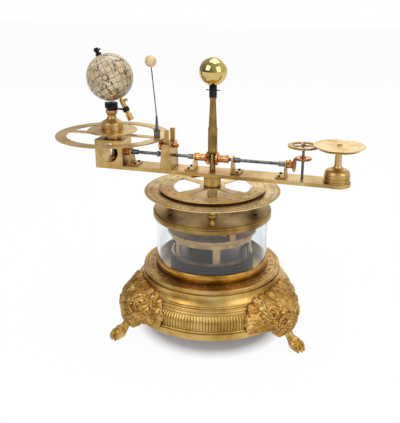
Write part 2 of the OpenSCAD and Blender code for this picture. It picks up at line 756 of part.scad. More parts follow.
// Cap of the drum: a flat plate inside a grooved, upright rim that grips the glass
module drum_cap() {
  seat_r = glass_r + 0.05;
  color("#B99648") rotate_extrude() polygon(concat(
    [[tube_r + run_gap, cap_z], [glass_r - glass_t - 4, cap_z], [glass_r - glass_t - 2.6, glass_top]],
    [[seat_r, glass_top], [seat_r, rim_low], [cap_r - 1.2, rim_low]],
    arc_points(cap_r - 0.8, rim_low + 0.8, 0.8, -60, 0, 2),
    arc_points(cap_r - 12, rim_low + 3.2, 12.05, -6, 8, 3),
    [[cap_r - 0.7, rim_low + 5.5], [cap_r - 0.7, rim_low + 5.9]],
    arc_points(cap_r - 1.1, rim_low + 7.1, 1.2, -60, 100, 5),
    [[cap_r - 2, cap_top - 1.6], [cap_r - 2.2, cap_top - 0.5], [cap_r - 2.8, cap_top]],
    [[tube_r + run_gap, cap_top]]));
}

// Turned pillars between cap and outer dial, with a cup at half their height
module dial_pillars() {
  h = dial_pillar_h;
  cup = pillar_cup_r;
  step = 360 / dial_pillar_n;
  color("#C59D49") for (k = [0 : dial_pillar_n - 1]) rotate([0, 0, dial_pillar_turn + k * step])
    translate([dial_pillar_pcd_r, 0, cap_top]) rotate_extrude($fn = 48) polygon([[0, 0], [cup * 0.68, 0],
      [cup * 0.68, 1.2], [cup * 0.54, 2.2], [cup * 0.5, 5], [cup * 0.56, h * 0.31], [cup * 0.76, h * 0.41],
      [cup * 0.96, h * 0.51], [cup, h * 0.55], [cup * 0.96, h * 0.575], [cup * 0.6, h * 0.585],
      [cup * 0.55, h * 0.64], [cup * 0.55, h - 1.4], [cup * 0.65, h - 0.8], [cup * 0.65, h], [0, h]]);
}

module outer_dial_ring() {
  color("#B3914B") translate([0, 0, dial_z]) rotate_extrude() polygon([[outer_dial_ri, 0],
    [outer_dial_r - dial_edge, 0], [outer_dial_r, dial_edge], [outer_dial_r, dial_t - dial_edge],
    [outer_dial_r - dial_edge, dial_t], [outer_dial_ri, dial_t]]);
}

// Hour wheel on the tube that turns round the column's stem
module hour_wheel() {
  color("#AD8D4E") difference() {
    union() {
      translate([0, 0, hour_z]) rotate_extrude() polygon([[0, 0], [hour_wheel_r - dial_edge, 0],
        [hour_wheel_r, dial_edge], [hour_wheel_r, dial_t - dial_edge],
        [hour_wheel_r - dial_edge, dial_t], [0, dial_t]]);
      translate([0, 0, movement_top + 6]) cylinder(r = tube_r, h = hour_z - movement_top - 6);
    }
    translate([0, 0, hour_z - 1]) linear_extrude(dial_t + 2)
      crossing(hour_wheel_r - hour_rim_w, hour_centre_r, hour_spoke_w, 4, 61);
    translate([0, 0, movement_top]) cylinder(r = stem_r + run_gap, h = 80);
  }
}

// Column: a flanged stem inside the tubes, then the tapered brass column over the gear
module sun_column() {
  color("#B88F42") rotate_extrude() polygon([[0, movement_top + 3], [8.5, movement_top + 3],
    [8.5, movement_top + 5], [stem_r, movement_top + 5.4], [stem_r, column_z], [column_r, column_z],
    [column_r, taper_z], [column_r - 0.7, taper_z + 0.8], [column_top_r, sleeve_z - 3.2],
    [column_top_r + 0.5, sleeve_z - 2.6], [column_top_r + 0.5, sleeve_z], [2, sleeve_z],
    [2, sleeve_z + 6], [0, sleeve_z + 6]]);
}

// Fixed gear of the column: the shafts' wheels roll round it
module column_gear() {
  color("#A87C3C") translate([0, 0, shaft_z])
    bevel(sun_teeth, shaft_teeth, bevel_m, stem_r, column_r, column_z - shaft_z, true);
}

module sun_sleeve() {
  color("#1E1C1B") difference() {
    union() {
      translate([0, 0, sleeve_z]) cylinder(r = sleeve_r, h = sleeve_h);
      translate([0, 0, sleeve_top]) cylinder(r = 2.4, h = 6);
    }
    translate([0, 0, sleeve_z - 1]) cylinder(r = 2, h = 7);
    translate([0, 0, sleeve_z + 9]) rotate([0, 90, 0]) cylinder(r = 0.6, h = 20, center = true, $fn = 32);
  }
}

module sun_cross_pin() {
  color("#3A3836") translate([0, 0, sleeve_z + 9]) rotate([0, 90, 0])
    cylinder(r = 0.6, h = cross_pin_len, center = true, $fn = 32);
}

module sun_ball() {
  color("#E3C04A") difference() {
    translate([0, 0, sun_z]) sphere(sun_r);
    translate([0, 0, sleeve_top - 10]) cylinder(r = sleeve_r + 0.4, h = 10);
    translate([0, 0, sleeve_top - 1]) cylinder(r = 2.4, h = 7);
  }
}

// Beam: a long flat bar with a round end under the dial
module beam() {
  left = earth_x + block_len / 2;
  color("#C4A466") translate([0, 0, beam_z]) difference() {
    linear_extrude(beam_t) {
      translate([-left, -beam_w / 2]) square([left + dial_x, beam_w]);
      translate([dial_x, 0]) circle(beam_end_r);
    }
    translate([0, 0, -1]) cylinder(r = stem_r + run_gap, h = beam_t + 2);
    translate([arbor_x, 0, 1]) cylinder(r = arbor_r + run_gap, h = beam_t, $fn = 48);
    translate([-earth_x, 0, 1]) cylinder(r = earth_arbor_r + run_gap, h = beam_t, $fn = 48);
    translate([0, 0, beam_t - 3]) bracket_holes(4);
  }
}

module beam_hub() {
  color("#A67C35") translate([0, 0, hub_z]) difference() {
    rotate_extrude() polygon([[0, 0], [hub_r - 0.8, 0], [hub_r, 0.8], [hub_r, hub_h - 3],
      [hub_r + 1.6, hub_h - 2.2], [hub_r + 1.6, hub_h], [0, hub_h]]);
    translate([0, 0, -1]) cylinder(r = stem_r + run_gap, h = hub_h + 2);
  }
}

// Block at the Earth's end, bored across for the bevel gears
module earth_block() {
  half = block_len / 2;
  color("#C2A05A") translate([-earth_x, 0, beam_top]) difference() {
    translate([-half, -beam_w / 2, 0]) cube([block_len, beam_w, block_h]);
    translate([0, 0, shaft_h + 0.4]) rotate([90, 0, 0])
      cylinder(r = block_hole_r, h = beam_w + 2, center = true);
    translate([0, 0, -1]) cylinder(r = earth_arbor_r + run_gap, h = block_h + 2, $fn = 48);
    translate([0, 0, shaft_h]) rotate([0, 90, 0]) cylinder(r = 4, h = half + 1, $fn = 48);
  }
}

module block_bush() {
  half = block_len / 2;
  wall_x = block_hole_r + 1.2;
  color("#B8703A") translate([-earth_x, 0, shaft_z]) rotate([0, 90, 0]) difference() {
    union() {
      translate([0, 0, wall_x]) cylinder(r = 4, h = half - wall_x, $fn = 48);
      translate([0, 0, half]) cylinder(r = 5.2, h = 4.4, $fn = 48);
    }
    cylinder(r = shaft_r + run_gap, h = 60, $fn = 48);
  }
}

// Earth pedestal: spigot through the moon ring, wide disc, turned body, neck and collar
module earth_pedestal() {
  disc_z = ring_z + 5.7 - block_top;
  top = pedestal_top - block_top;
  color("#B48C44") translate([-earth_x, 0, block_top]) difference() {
    rotate_extrude() polygon(concat(
      [[0, 0], [spigot_r, 0], [spigot_r, disc_z - 0.6], [18, disc_z - 0.6], [20, disc_z],
      [wide_disc_r - 0.8, disc_z], [wide_disc_r, disc_z + 0.8], [wide_disc_r - 0.8, disc_z + 1.8],
      [earth_body_r + 0.4, disc_z + 2.4], [earth_body_r, disc_z + 3], [earth_body_r, disc_z + 10]],
      arc_points(earth_body_r - 2.4, disc_z + 10.4, 2.4, 0, 80, 4),
      arc_points(earth_neck_r + 4.9, top - 8.6, 5, 235, 150, 6),
      [[earth_neck_r + 1.5, top - 4.8], [earth_neck_r + 2, top - 4], [earth_neck_r + 2, top - 0.6],
      [earth_neck_r + 1.2, top], [0, top]]));
    translate([0, 0, -1]) cylinder(r = earth_arbor_r + run_gap, h = 60, $fn = 48);
  }
}

// Bracket that guides the moon ring's edge and carries its roller
module ring_bracket() {
  h = ring_bracket_h;
  half = ring_bracket_len / 2;
  color("#B79548") translate([-ring_bracket_x, 0, beam_top]) difference() {
    union() {
      rotate([90, 0, 0]) linear_extrude(beam_w, center = true)
        polygon([[-half, 0], [half, 0], [half - 1.4, h], [3 - half, h]]);
      translate([-2.6, -10, h - 1]) cube([5.4, 4, prong_h - h + 1]);
      translate([-0.4, 6, h - 1]) cube([6, 4, prong_h - h + 1]);
    }
    translate([0, 0, shaft_h]) rotate([0, 90, 0])
      cylinder(r = shaft_r + run_gap, h = 40, center = true, $fn = 48);
    translate([0, 0, roller_z - beam_top]) rotate([0, 90, 0])
      cylinder(r = 1.6 + run_gap, h = 40, center = true, $fn = 48);
  }
}

// Copper roller under the moon ring, on an arbor along the beam, with its collar
module ring_roller() {
  x0 = 4 - ring_bracket_x - ring_bracket_len;
  color("#B56A36") translate([0, 0, roller_z]) rotate([0, 90, 0]) {
    translate([0, 0, x0 - 1]) cylinder(r = roller_r, h = 2.8);
    translate([0, 0, x0]) cylinder(r = 3, h = -ring_bracket_x - ring_bracket_len / 2 + 2.2 - x0, $fn = 48);
    translate([0, 0, x0]) cylinder(r = 1.6, h = 25, $fn = 48);
    translate([0, 0, ring_bracket_len / 2 - ring_bracket_x - 0.6]) cylinder(r = 3, h = 5.4, $fn = 48);
  }
}

// Bearing bracket: foot with two screws and a tapered upright with a round eye; side 1 puts the foot at +X
module bearing_bracket(x, side) {
  h = shaft_h;
  color("#D2B87C") translate([x, 0, beam_top]) difference() {
    union() {
      translate([side > 0 ? 0 : bracket_t - bracket_len, -bracket_w / 2, 0])
        cube([bracket_len, bracket_w, bracket_t]);
      rotate([90, 0, 90]) linear_extrude(bracket_t) {
        polygon([[-bracket_w / 2, 0], [bracket_w / 2, 0], [bracket_w / 2, bracket_t],
          [bracket_eye_r * cos(12), h + bracket_eye_r * sin(12)],
          [-bracket_eye_r * cos(12), h + bracket_eye_r * sin(12)], [-bracket_w / 2, bracket_t]]);
        translate([0, h]) circle(bracket_eye_r);
      }
    }
    translate([-1, 0, h]) rotate([0, 90, 0]) cylinder(r = shaft_r + run_gap, h = 10, $fn = 48);
    translate([-x, 0, -1]) bracket_holes(10);
  }
}

// Places of the screws: two in each bracket's foot
bracket_spots = [
  [outer_left_x + bracket_t + 6, 1], [inner_left_x - 6, 1], [inner_right_x + bracket_t + 6, 1],
  [outer_right_x - 6, 1]];

module bracket_holes(h) {
  for (s = bracket_spots, y = [-6.5, 6.5]) translate([s[0], y, 0]) cylinder(r = 1.1, h = h, $fn = 32);
}

module left_outer_bracket() { bearing_bracket(outer_left_x, 1); }

module left_inner_bracket() { bearing_bracket(inner_left_x, -1); }

module right_inner_bracket() { bearing_bracket(inner_right_x, 1); }

module right_outer_bracket() { bearing_bracket(outer_right_x, -1); }

module bracket_screws() {
  color("#2B2724") for (s = bracket_spots, y = [-6.5, 6.5]) translate([s[0], y, beam_top]) {
    translate([0, 0, bracket_t]) cylinder(r = screw_head_r, h = 1.2, $fn = 32);
    translate([0, 0, -2.8]) cylinder(r = 1.1, h = bracket_t + 2.9, $fn = 32);
  }
}

// Right pedestal: grooved bell with a tall neck, bored for the dial's arbor
module right_pedestal() {
  color("#B48A40") translate([dial_x, 0, beam_top]) difference() {
    rotate_extrude() polygon(concat([[0, 0], [bell_r + 0.5, 0], [bell_r + 0.5, 1.6], [bell_r - 0.5, 2],
      [bell_r - 0.6, 3.4], [bell_r - 0.1, 3.8], [bell_r - 0.1, 5.2], [bell_r - 0.8, 5.6], [bell_r - 0.8, 6.4],
      [bell_r, 6.9], [bell_r, 8.6], [bell_r - 0.6, 9.2]],
      arc_points(bell_r - 6.4, 10.2, 6, 0, 82, 6),
      arc_points(neck_r + 5.6, 21.4, 5, 250, 180, 5),
      [[neck_r, pedestal_neck_h - 1.4], [neck_r + 0.7, pedestal_neck_h - 1],
      [neck_r + 0.7, pedestal_neck_h], [0, pedestal_neck_h]]));
    translate([0, 0, 18]) cylinder(r = arbor_r + run_gap, h = 40, $fn = 48);
  }
}

module along_x(x) {
  translate([x, 0, shaft_z]) rotate([0, 90, 0]) children();
}

// Left shaft: rod with thick sleeves beside its brackets
module left_shaft() {
  x_out = -earth_x + sun_pitch_r + 1.4;
  color("#3D434C") union() {
    along_x(x_out) cylinder(r = shaft_r, h = -x_out - sun_pitch_r - 1.4, $fn = 48);
    along_x(outer_left_x + bracket_t + face_gap) cylinder(r = shaft_sleeve_r, h = 8, $fn = 48);
    along_x(-76.4) cylinder(r = 3.7, h = 3.6, $fn = 48);
    along_x(inner_left_x - 8.3) cylinder(r = shaft_sleeve_r, h = 8, $fn = 48);
  }
}

// Bevel wheel that rolls round the column's gear, left side
module left_inner_bevel() {
  color("#B8682F") translate([0, 0, shaft_z]) rotate([0, -90, 0]) difference() {
    union() {
      bevel(shaft_teeth, sun_teeth, bevel_m, shaft_r, bevel_hub_r, -inner_left_x - bracket_t - face_gap);
      set_screw(19.5, bevel_hub_r);
    }
    cylinder(r = shaft_r, h = 30, $fn = 48);
  }
}

module left_outer_bevel() {
  color("#4A4440") translate([-earth_x, 0, shaft_z]) rotate([0, 90, 0])
    bevel(shaft_teeth, sun_teeth, bevel_m, shaft_r, bevel_hub_r - 0.7, 11);
}

module right_shaft() {
  x_end = arbor_x - arbor_pitch_r + 1.2;
  color("#3D434C") union() {
    along_x(sun_pitch_r + 1.4) cylinder(r = shaft_r, h = x_end - sun_pitch_r - 1.4, $fn = 48);
    along_x(inner_right_x + bracket_t + face_gap) cylinder(r = shaft_sleeve_r, h = 7.6, $fn = 48);
    along_x(outer_right_x - 8) cylinder(r = shaft_sleeve_r, h = 8 - face_gap, $fn = 48);
  }
}

module right_inner_bevel() {
  color("#B8682F") translate([0, 0, shaft_z]) rotate([0, 90, 0]) difference() {
    union() {
      bevel(shaft_teeth, sun_teeth, bevel_m, shaft_r, bevel_hub_r, hub_out);
      rotate([0, 0, 180]) set_screw(19.5, bevel_hub_r);
    }
    cylinder(r = shaft_r, h = 30, $fn = 48);
  }
}

module right_outer_bevel() {
  hub = arbor_x - outer_right_x - bracket_t - face_gap;
  color("#B8682F") translate([arbor_x, 0, shaft_z]) rotate([0, -90, 0]) difference() {
    union() {
      bevel(right_shaft_teeth, arbor_teeth, right_bevel_m, shaft_r, bevel_hub_r, hub);
      set_screw(hub - 3.5, bevel_hub_r);
    }
    translate([0, 0, arbor_pitch_r - 8]) cylinder(r = shaft_r, h = 30, $fn = 48);
  }
}

module right_arbor() {
  color("#3A3D42") translate([arbor_x, 0, beam_z + 1.2]) {
    cylinder(r = arbor_r, h = gear_top + 1.4 - beam_z - 1.2, $fn = 48);
    translate([0, 0, gear_top - beam_z - 1.2]) cylinder(r = 2.6, h = 1.4, $fn = 32);
  }
}

module arbor_bevel() {
  color("#A8602E") translate([arbor_x, 0, shaft_z]) rotate([0, 0, 180])
    bevel(arbor_teeth, right_shaft_teeth, right_bevel_m, arbor_r, 3.6, 12, true);
}

// Idler wheel: crossed out, on top of the right arbor
module idler_wheel() {
  color("#C39B50") translate([arbor_x, 0, gear_z]) linear_extrude(wheel_t) difference() {
    spur_outline(idler_teeth, wheel_m);
    crossing(idler_r - 3.6, 4, 2.6, 4, 20);
    circle(arbor_r);
  }
}

// Dial gear with the arbor that turns in the right pedestal
module dial_gear() {
  color("#A8813F") translate([dial_x, 0, gear_z]) {
    rotate([0, 0, 180 / dial_teeth]) linear_extrude(wheel_t) spur_outline(dial_teeth, wheel_m);
    translate([0, 0, wheel_t]) cylinder(r = 6, h = small_dial_z - gear_top);
    translate([0, 0, 19 - wheel_z]) cylinder(r = arbor_r, h = wheel_z - 19 + 0.1, $fn = 48);
    translate([0, 0, wheel_t]) cylinder(r = arbor_r, h = 4.6, $fn = 48);
  }
}

// Small dial with its lobed nut
module dial_disc() {
  color("#B5954F") translate([dial_x, 0, small_dial_z]) difference() {
    union() {
      rotate_extrude() polygon([[0, 0], [small_dial_r - 0.8, 0], [small_dial_r, 0.6],
        [small_dial_r, small_dial_t - 0.4], [small_dial_r - 0.5, small_dial_t], [0, small_dial_t]]);
      translate([0, 0, small_dial_t]) linear_extrude(2.4) {
        circle(2.6);
        for (k = [0 : 2]) rotate(k * 120) translate([2.3, 0]) circle(1.2, $fn = 32);
      }
    }
    translate([0, 0, -1]) cylinder(r = arbor_r, h = 4, $fn = 48);
  }
}

// Vertical arbor of the Earth, held in the beam and the pedestal
module earth_arbor() {
  color("#54585E") translate([-earth_x, 0, beam_z + 1.2])
    cylinder(r = earth_arbor_r, h = pedestal_top - beam_z - 1.2 + 10, $fn = 48);
}

module earth_bevel() {
  color("#B58E48") translate([-earth_x, 0, shaft_z]) mirror([0, 0, 1])
    bevel(sun_teeth, shaft_teeth, bevel_m, earth_arbor_r, 4.2, 11.4, true);
}

// Arm on the Earth's arbor, with the tilted eye that grips the axis tube
module axis_arm() {
  z0 = pedestal_top + face_gap;
  reach = (globe_z - z0 - 0.9) * tan(axis_tilt);
  color("#34302D") translate([-earth_x, 0, 0]) difference() {
    union() {
      translate([0, 0, z0]) cylinder(r = 5.2, h = 1.8);
      translate([0, -2.4, z0]) cube([reach, 4.8, 1.8]);
      at_axis(globe_z - z0 - 0.9) translate([0, 0, -3]) cylinder(r = 4.5, h = 6, $fn = 48);
    }
    translate([0, 0, z0 - 1]) cylinder(r = earth_arbor_r, h = 4, $fn = 48);
    at_axis(globe_z - z0 - 0.9) translate([0, 0, -8]) cylinder(r = axis_tube_r, h = 16, $fn = 48);
  }
}

// Moves to the point of the tilted axis that lies drop below the globe's centre
module at_axis(drop) {
  translate([drop * tan(axis_tilt), 0, globe_z - drop]) rotate([0, -axis_tilt, 0]) children();
}

// Black notched nut that clamps the arm
module clamp_nut() {
  z0 = pedestal_top + face_gap + 1.8;
  color("#1D1B1A") translate([-earth_x, 0, z0]) difference() {
    cylinder(r = 8.6, h = 7.2);
    translate([0, 0, -1]) cylinder(r = earth_arbor_r, h = 10, $fn = 48);
    for (k = [0 : 15]) rotate([0, 0, k * 22.5]) translate([9.3, 0, 2]) cylinder(r = 1.2, h = 9, $fn = 24);
  }
}

module globe_frame() {
  translate([-earth_x, 0, globe_z]) rotate([0, -axis_tilt, 0]) children();
}

// Tube that holds the globe's axle, with a small thumbscrew
module axis_tube() {
  color("#C29B4C") globe_frame() difference() {
    union() {
      translate([0, 0, -tube_low]) cylinder(r = axis_tube_r, h = tube_low - globe_r - 1.2, $fn = 48);
      translate([0, 0, -globe_r - 4.6]) rotate([0, 90, 0]) cylinder(r = 1.1, h = 7, $fn = 32);
      translate([axis_tube_r + 1.5, 0, -globe_r - 4.6]) rotate([0, 90, 0])
        cylinder(r = 1.9, h = 3.4, $fn = 32);
    }
    translate([0, 0, -80]) cylinder(r = axle_r + run_gap, h = 80, $fn = 48);
  }
}

module globe() {
  color("#D8CFB4") globe_frame() difference() {
    sphere(globe_r);
    sphere(globe_r - globe_shell);
    cylinder(r = axle_r, h = 2 * globe_r + 2, center = true, $fn = 48);
  }
}

// Axle through the globe, with the milled knob at its foot
module globe_axle() {
  color("#C9A558") globe_frame() {
    translate([0, 0, -tube_low - 8]) cylinder(r = axle_r, h = tube_low + 8 + globe_r + 8, $fn = 48);
    difference() {
      translate([0, 0, -tube_low - face_gap - 9.4]) cylinder(r = 3.9, h = 9.4, $fn = 48);
      for (k = [0 : 11]) rotate([0, 0, k * 30]) translate([4.3, 0, -tube_low - 11])
        cylinder(r = 0.7, h = 10, $fn = 24);
    }
  }
}

// Black milled finial over the north pole, with its set screw
module globe_finial() {
  color("#1C1A19") globe_frame() difference() {
    union() {
      rotate_extrude($fn = 48) polygon([[0, globe_r + 0.4], [4, globe_r + 0.4], [4, globe_r + 2.6],
        [2.6, globe_r + 3.4], [2.6, globe_r + 5], [3.4, globe_r + 5.6], [3.4, globe_r + 9],
        [2.4, globe_r + 10.2], [0, globe_r + 10.2]]);
      translate([0, 0, globe_r + 6.6]) rotate([0, 90, 0]) cylinder(r = 1, h = 6, $fn = 32);
    }
    translate([0, 0, 0]) cylinder(r = axle_r, h = globe_r + 8, $fn = 48);
  }
}

// Moon ring: flat ring with a bar across and a hub that turns on the pedestal's spigot
module moon_ring() {
  color("#C9AC6B") translate([-earth_x, 0, 0]) difference() {
    union() {
      translate([0, 0, ring_z]) linear_extrude(ring_t) {
        ring2d(ring_r, ring_r - ring_w);
        translate([-ring_r + ring_w / 2, -bar_w / 2]) square([2 * ring_r - ring_w, bar_w]);
        circle(spigot_r + 5);
      }
      translate([0, 0, block_top + face_gap])
        cylinder(r = spigot_r + 3.2, h = ring_z + 4.8 - block_top - face_gap);
    }
    translate([0, 0, block_top]) cylinder(r = spigot_r + run_gap, h = 30);
  }
}

// Moon's socket, cone and rod
module moon_stem() {
  rod_z = ring_top + 28;
  rise = moon_h - 28;
  slant = atan(moon_lean / rise);
  color("#35383D") translate([moon_offset - earth_x, 0, 0]) {
    translate([0, 0, ring_top]) rotate_extrude($fn = 48) polygon([[0, 0], [4.1, 0], [4.1, 7.6], [4.8, 8],
      [4.8, 9.4], [2.4, 10], [1.2, 28], [0, 28]]);
    translate([0, 0, rod_z - 0.4]) rotate([0, -slant, 0])
      cylinder(r = 0.75, h = rise / cos(slant) - moon_r + 1.5, $fn = 32);
  }
}

module moon_ball() {
  rise = moon_h - 28;
  slant = atan(moon_lean / rise);
  color("#E8E0C4") translate([moon_offset - earth_x, 0, 0]) difference() {
    translate([-moon_lean, 0, ring_top + moon_h]) sphere(moon_r);
    translate([0, 0, ring_top + 27.6]) rotate([0, -slant, 0])
      cylinder(r = 0.75, h = rise / cos(slant) - moon_r + 1.5, $fn = 32);
  }
}

plinth_casting();
fluted_gallery();
underside_plate();
foot_right();
foot_left();
foot_rear();
chapter_ring();
ring_screws();
lower_bezel();
glass_cylinder();
movement_base();
movement_cage();
movement_top_plate();
drum_cap();
dial_pillars();
outer_dial_ring();
sun_column();
column_gear();
sun_sleeve();
sun_cross_pin();
sun_ball();
beam();
beam_hub();
earth_block();
block_bush();
earth_pedestal();
ring_bracket();
left_outer_bracket();
left_inner_bracket();
right_inner_bracket();
right_outer_bracket();
bracket_screws();
right_pedestal();
left_shaft();
left_inner_bevel();
left_outer_bevel();
right_shaft();
right_inner_bevel();
right_outer_bevel();
right_arbor();
arbor_bevel();
idler_wheel();
dial_gear();
dial_disc();
earth_arbor();
earth_bevel();
axis_arm();
clamp_nut();
axis_tube();
globe();
globe_axle();
globe_finial();
moon_ring();
moon_stem();
moon_ball();
ring_roller();
hour_wheel();
mainspring_barrel();
centre_wheel();
balance_wheel();
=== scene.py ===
# Looks of the planetary clock: gilt, brass, steel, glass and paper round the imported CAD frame.
import math

import bpy
import bmesh
import numpy as np
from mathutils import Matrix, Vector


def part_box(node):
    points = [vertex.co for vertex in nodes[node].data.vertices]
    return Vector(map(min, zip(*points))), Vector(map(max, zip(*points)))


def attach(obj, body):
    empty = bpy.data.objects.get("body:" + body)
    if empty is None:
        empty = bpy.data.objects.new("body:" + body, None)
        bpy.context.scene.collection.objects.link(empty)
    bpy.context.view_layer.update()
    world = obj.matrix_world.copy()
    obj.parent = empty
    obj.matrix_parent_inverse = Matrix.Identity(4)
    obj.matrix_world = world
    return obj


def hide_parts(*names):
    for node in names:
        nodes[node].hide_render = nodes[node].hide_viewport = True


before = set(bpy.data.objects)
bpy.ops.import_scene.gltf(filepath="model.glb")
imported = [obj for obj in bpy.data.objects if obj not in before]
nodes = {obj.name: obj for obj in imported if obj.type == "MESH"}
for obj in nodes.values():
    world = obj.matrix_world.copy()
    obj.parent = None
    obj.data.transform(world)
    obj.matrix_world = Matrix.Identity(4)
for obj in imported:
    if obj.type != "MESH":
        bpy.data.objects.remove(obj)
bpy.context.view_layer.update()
print("frame loaded:", len(nodes), "nodes")


def topOf(name):
    # height in mm over the table of a CAD node's highest point
    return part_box(name)[1][2] * 1000


earthX = -140.4  # mm along the beam to the Earth's axis
dialX = 159.9  # mm along the beam to the small dial's axis


def addObject(name, data):
    made = bpy.data.objects.new(name, data)
    bpy.context.scene.collection.objects.link(made)
    return made


# Shapes, in mm until they are made a mesh

weldGap = 2e-6  # metres: points nearer than this become one
sliverEdge = 1e-7  # metres: shorter edges are dissolved


def surface(points, wrapU=False, wrapV=False):
    # quads between neighbours of a grid of points; they face along (u step) x (v step)
    countU, countV = points.shape[:2]
    i = np.arange(countU if wrapU else countU - 1)
    j = np.arange(countV if wrapV else countV - 1)
    a, b = np.meshgrid(i, j, indexing="ij")
    c, d = (a + 1) % countU, (b + 1) % countV
    quads = np.stack([a * countV + b, c * countV + b, c * countV + d, a * countV + d], -1)
    return points.reshape(-1, 3), quads.reshape(-1, 4)


def placed(part, lean=0.0, turn=0.0, at=(0, 0, 0)):
    # leans a part about Y, turns it about Z, then shifts it
    points, quads = part
    a, b = math.radians(lean), math.radians(turn)
    aboutY = np.array([[math.cos(a), 0, math.sin(a)], [0, 1, 0], [-math.sin(a), 0, math.cos(a)]])
    aboutZ = np.array([[math.cos(b), -math.sin(b), 0], [math.sin(b), math.cos(b), 0], [0, 0, 1]])
    return points @ (aboutZ @ aboutY).T + np.array(at, float), quads


def softened(profile, size=0.35, steps=3, most=0.4):
    # each corner of a closed profile becomes a short quadratic curve, which starts size mm back
    # along both sides, but never more than a share of a side
    p = np.asarray(profile, float)
    toBefore, toAfter = np.roll(p, 1, 0) - p, np.roll(p, -1, 0) - p
    lengthBefore = np.linalg.norm(toBefore, axis=1, keepdims=True) + 1e-9
    lengthAfter = np.linalg.norm(toAfter, axis=1, keepdims=True) + 1e-9
    start = p + toBefore / lengthBefore * np.minimum(size, lengthBefore * most)
    end = p + toAfter / lengthAfter * np.minimum(size, lengthAfter * most)
    t = np.linspace(0, 1, steps + 1)[None, :, None]
    curve = (1 - t) ** 2 * start[:, None] + 2 * t * (1 - t) * p[:, None] + t**2 * end[:, None]
    return curve.reshape(-1, 2)


def arc(centreR, centreZ, radius, start, end, steps):
    # points of a circle's arc in a flat profile, angles in degrees
    a = np.radians(np.linspace(start, end, steps))
    return np.stack([centreR + radius * np.cos(a), centreZ + radius * np.sin(a)], -1)


def turned(profile, count=160, closed=False):
    # a profile of (radius, height) carried round the vertical axis
    a = np.linspace(0, 2 * np.pi, count, endpoint=False)[:, None]
    r, z = np.asarray(profile, float).T
    points = np.stack([np.cos(a) * r, np.sin(a) * r, np.broadcast_to(z, (count, len(z)))], -1)
    return surface(points, wrapU=True, wrapV=closed)


def ball(radius, countU, countV):
    # longitude and latitude of a sphere
    a = np.radians(np.linspace(-90, 90, countV))
    return turned(radius * np.stack([np.cos(a), np.sin(a)], -1), countU)


def makePiece(
    name, parts, material, body, replaced=(), slotName=None, sharp=38, fixNormals=False, relief=None
):
    # joins parts given in mm into one mesh in metres, welded, smooth, with edges over sharp degrees kept
    # relief: one value for each point, kept as an attribute that the material reads to paint shade in the
    # grooves
    sizes = [len(points) for points, _ in parts]
    starts = np.concatenate([[0], np.cumsum(sizes)[:-1]])
    points = np.concatenate([p for p, _ in parts]) / 1000
    faces = np.concatenate([f + s for (_, f), s in zip(parts, starts)])
    mesh = bpy.data.meshes.new(name)
    mesh.from_pydata(points.tolist(), [], faces.tolist())
    if relief is not None:
        mesh.attributes.new("relief", "FLOAT", "POINT").data.foreach_set("value", relief)
    work = bmesh.new()
    work.from_mesh(mesh)
    bmesh.ops.remove_doubles(work, verts=work.verts, dist=weldGap)
    bmesh.ops.dissolve_degenerate(work, edges=work.edges, dist=sliverEdge)
    if fixNormals:
        bmesh.ops.recalc_face_normals(work, faces=work.faces)
    work.to_mesh(mesh)
    work.free()
    mesh.polygons.foreach_set("use_smooth", np.ones(len(mesh.polygons), bool))
    mesh.set_sharp_from_angle(angle=math.radians(sharp))
    mesh.materials.append(material)
    piece = addObject(name, mesh)
    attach(piece, body)
    if replaced:
        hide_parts(*replaced)
    return piece


# Materials


def toLinear(hexText):
    # sRGB hex to the linear colour that the shaders want
    parts = [int(hexText[i : i + 2], 16) / 255 for i in (1, 3, 5)]
    linear = [c / 12.92 if c <= 0.04045 else ((c + 0.055) / 1.055) ** 2.4 for c in parts]
    return (*linear, 1.0)


def setInputs(tree, node, inputs):
    # an input given a socket is linked to it, one given a node to its first output; others are set
    for key, value in inputs.items():
        if isinstance(value, bpy.types.Node):
            value = value.outputs[0]
        if isinstance(value, bpy.types.NodeSocket):
            tree.links.new(value, node.inputs[key])
        else:
            node.inputs[key].default_value = value


def addNode(tree, kind, inputs=None, stops=(), **settings):
    # adds one shader node; stops are a ramp's places and linear colours, its two ends before the rest
    node = tree.nodes.new("ShaderNode" + kind)
    for key, value in settings.items():
        setattr(node, key, value)
    setInputs(tree, node, inputs or {})
    for k, (place, colour) in enumerate(stops):
        stop = node.color_ramp.elements[k] if k < 2 else node.color_ramp.elements.new(place)
        stop.position = place
        stop.color = colour
    return node


def startMaterial(name):
    material = bpy.data.materials.new(name)
    material.use_nodes = True
    tree = material.node_tree
    tree.nodes.clear()
    shader = addNode(tree, "BsdfPrincipled")
    addNode(tree, "OutputMaterial", {"Surface": shader})
    return material, tree, shader


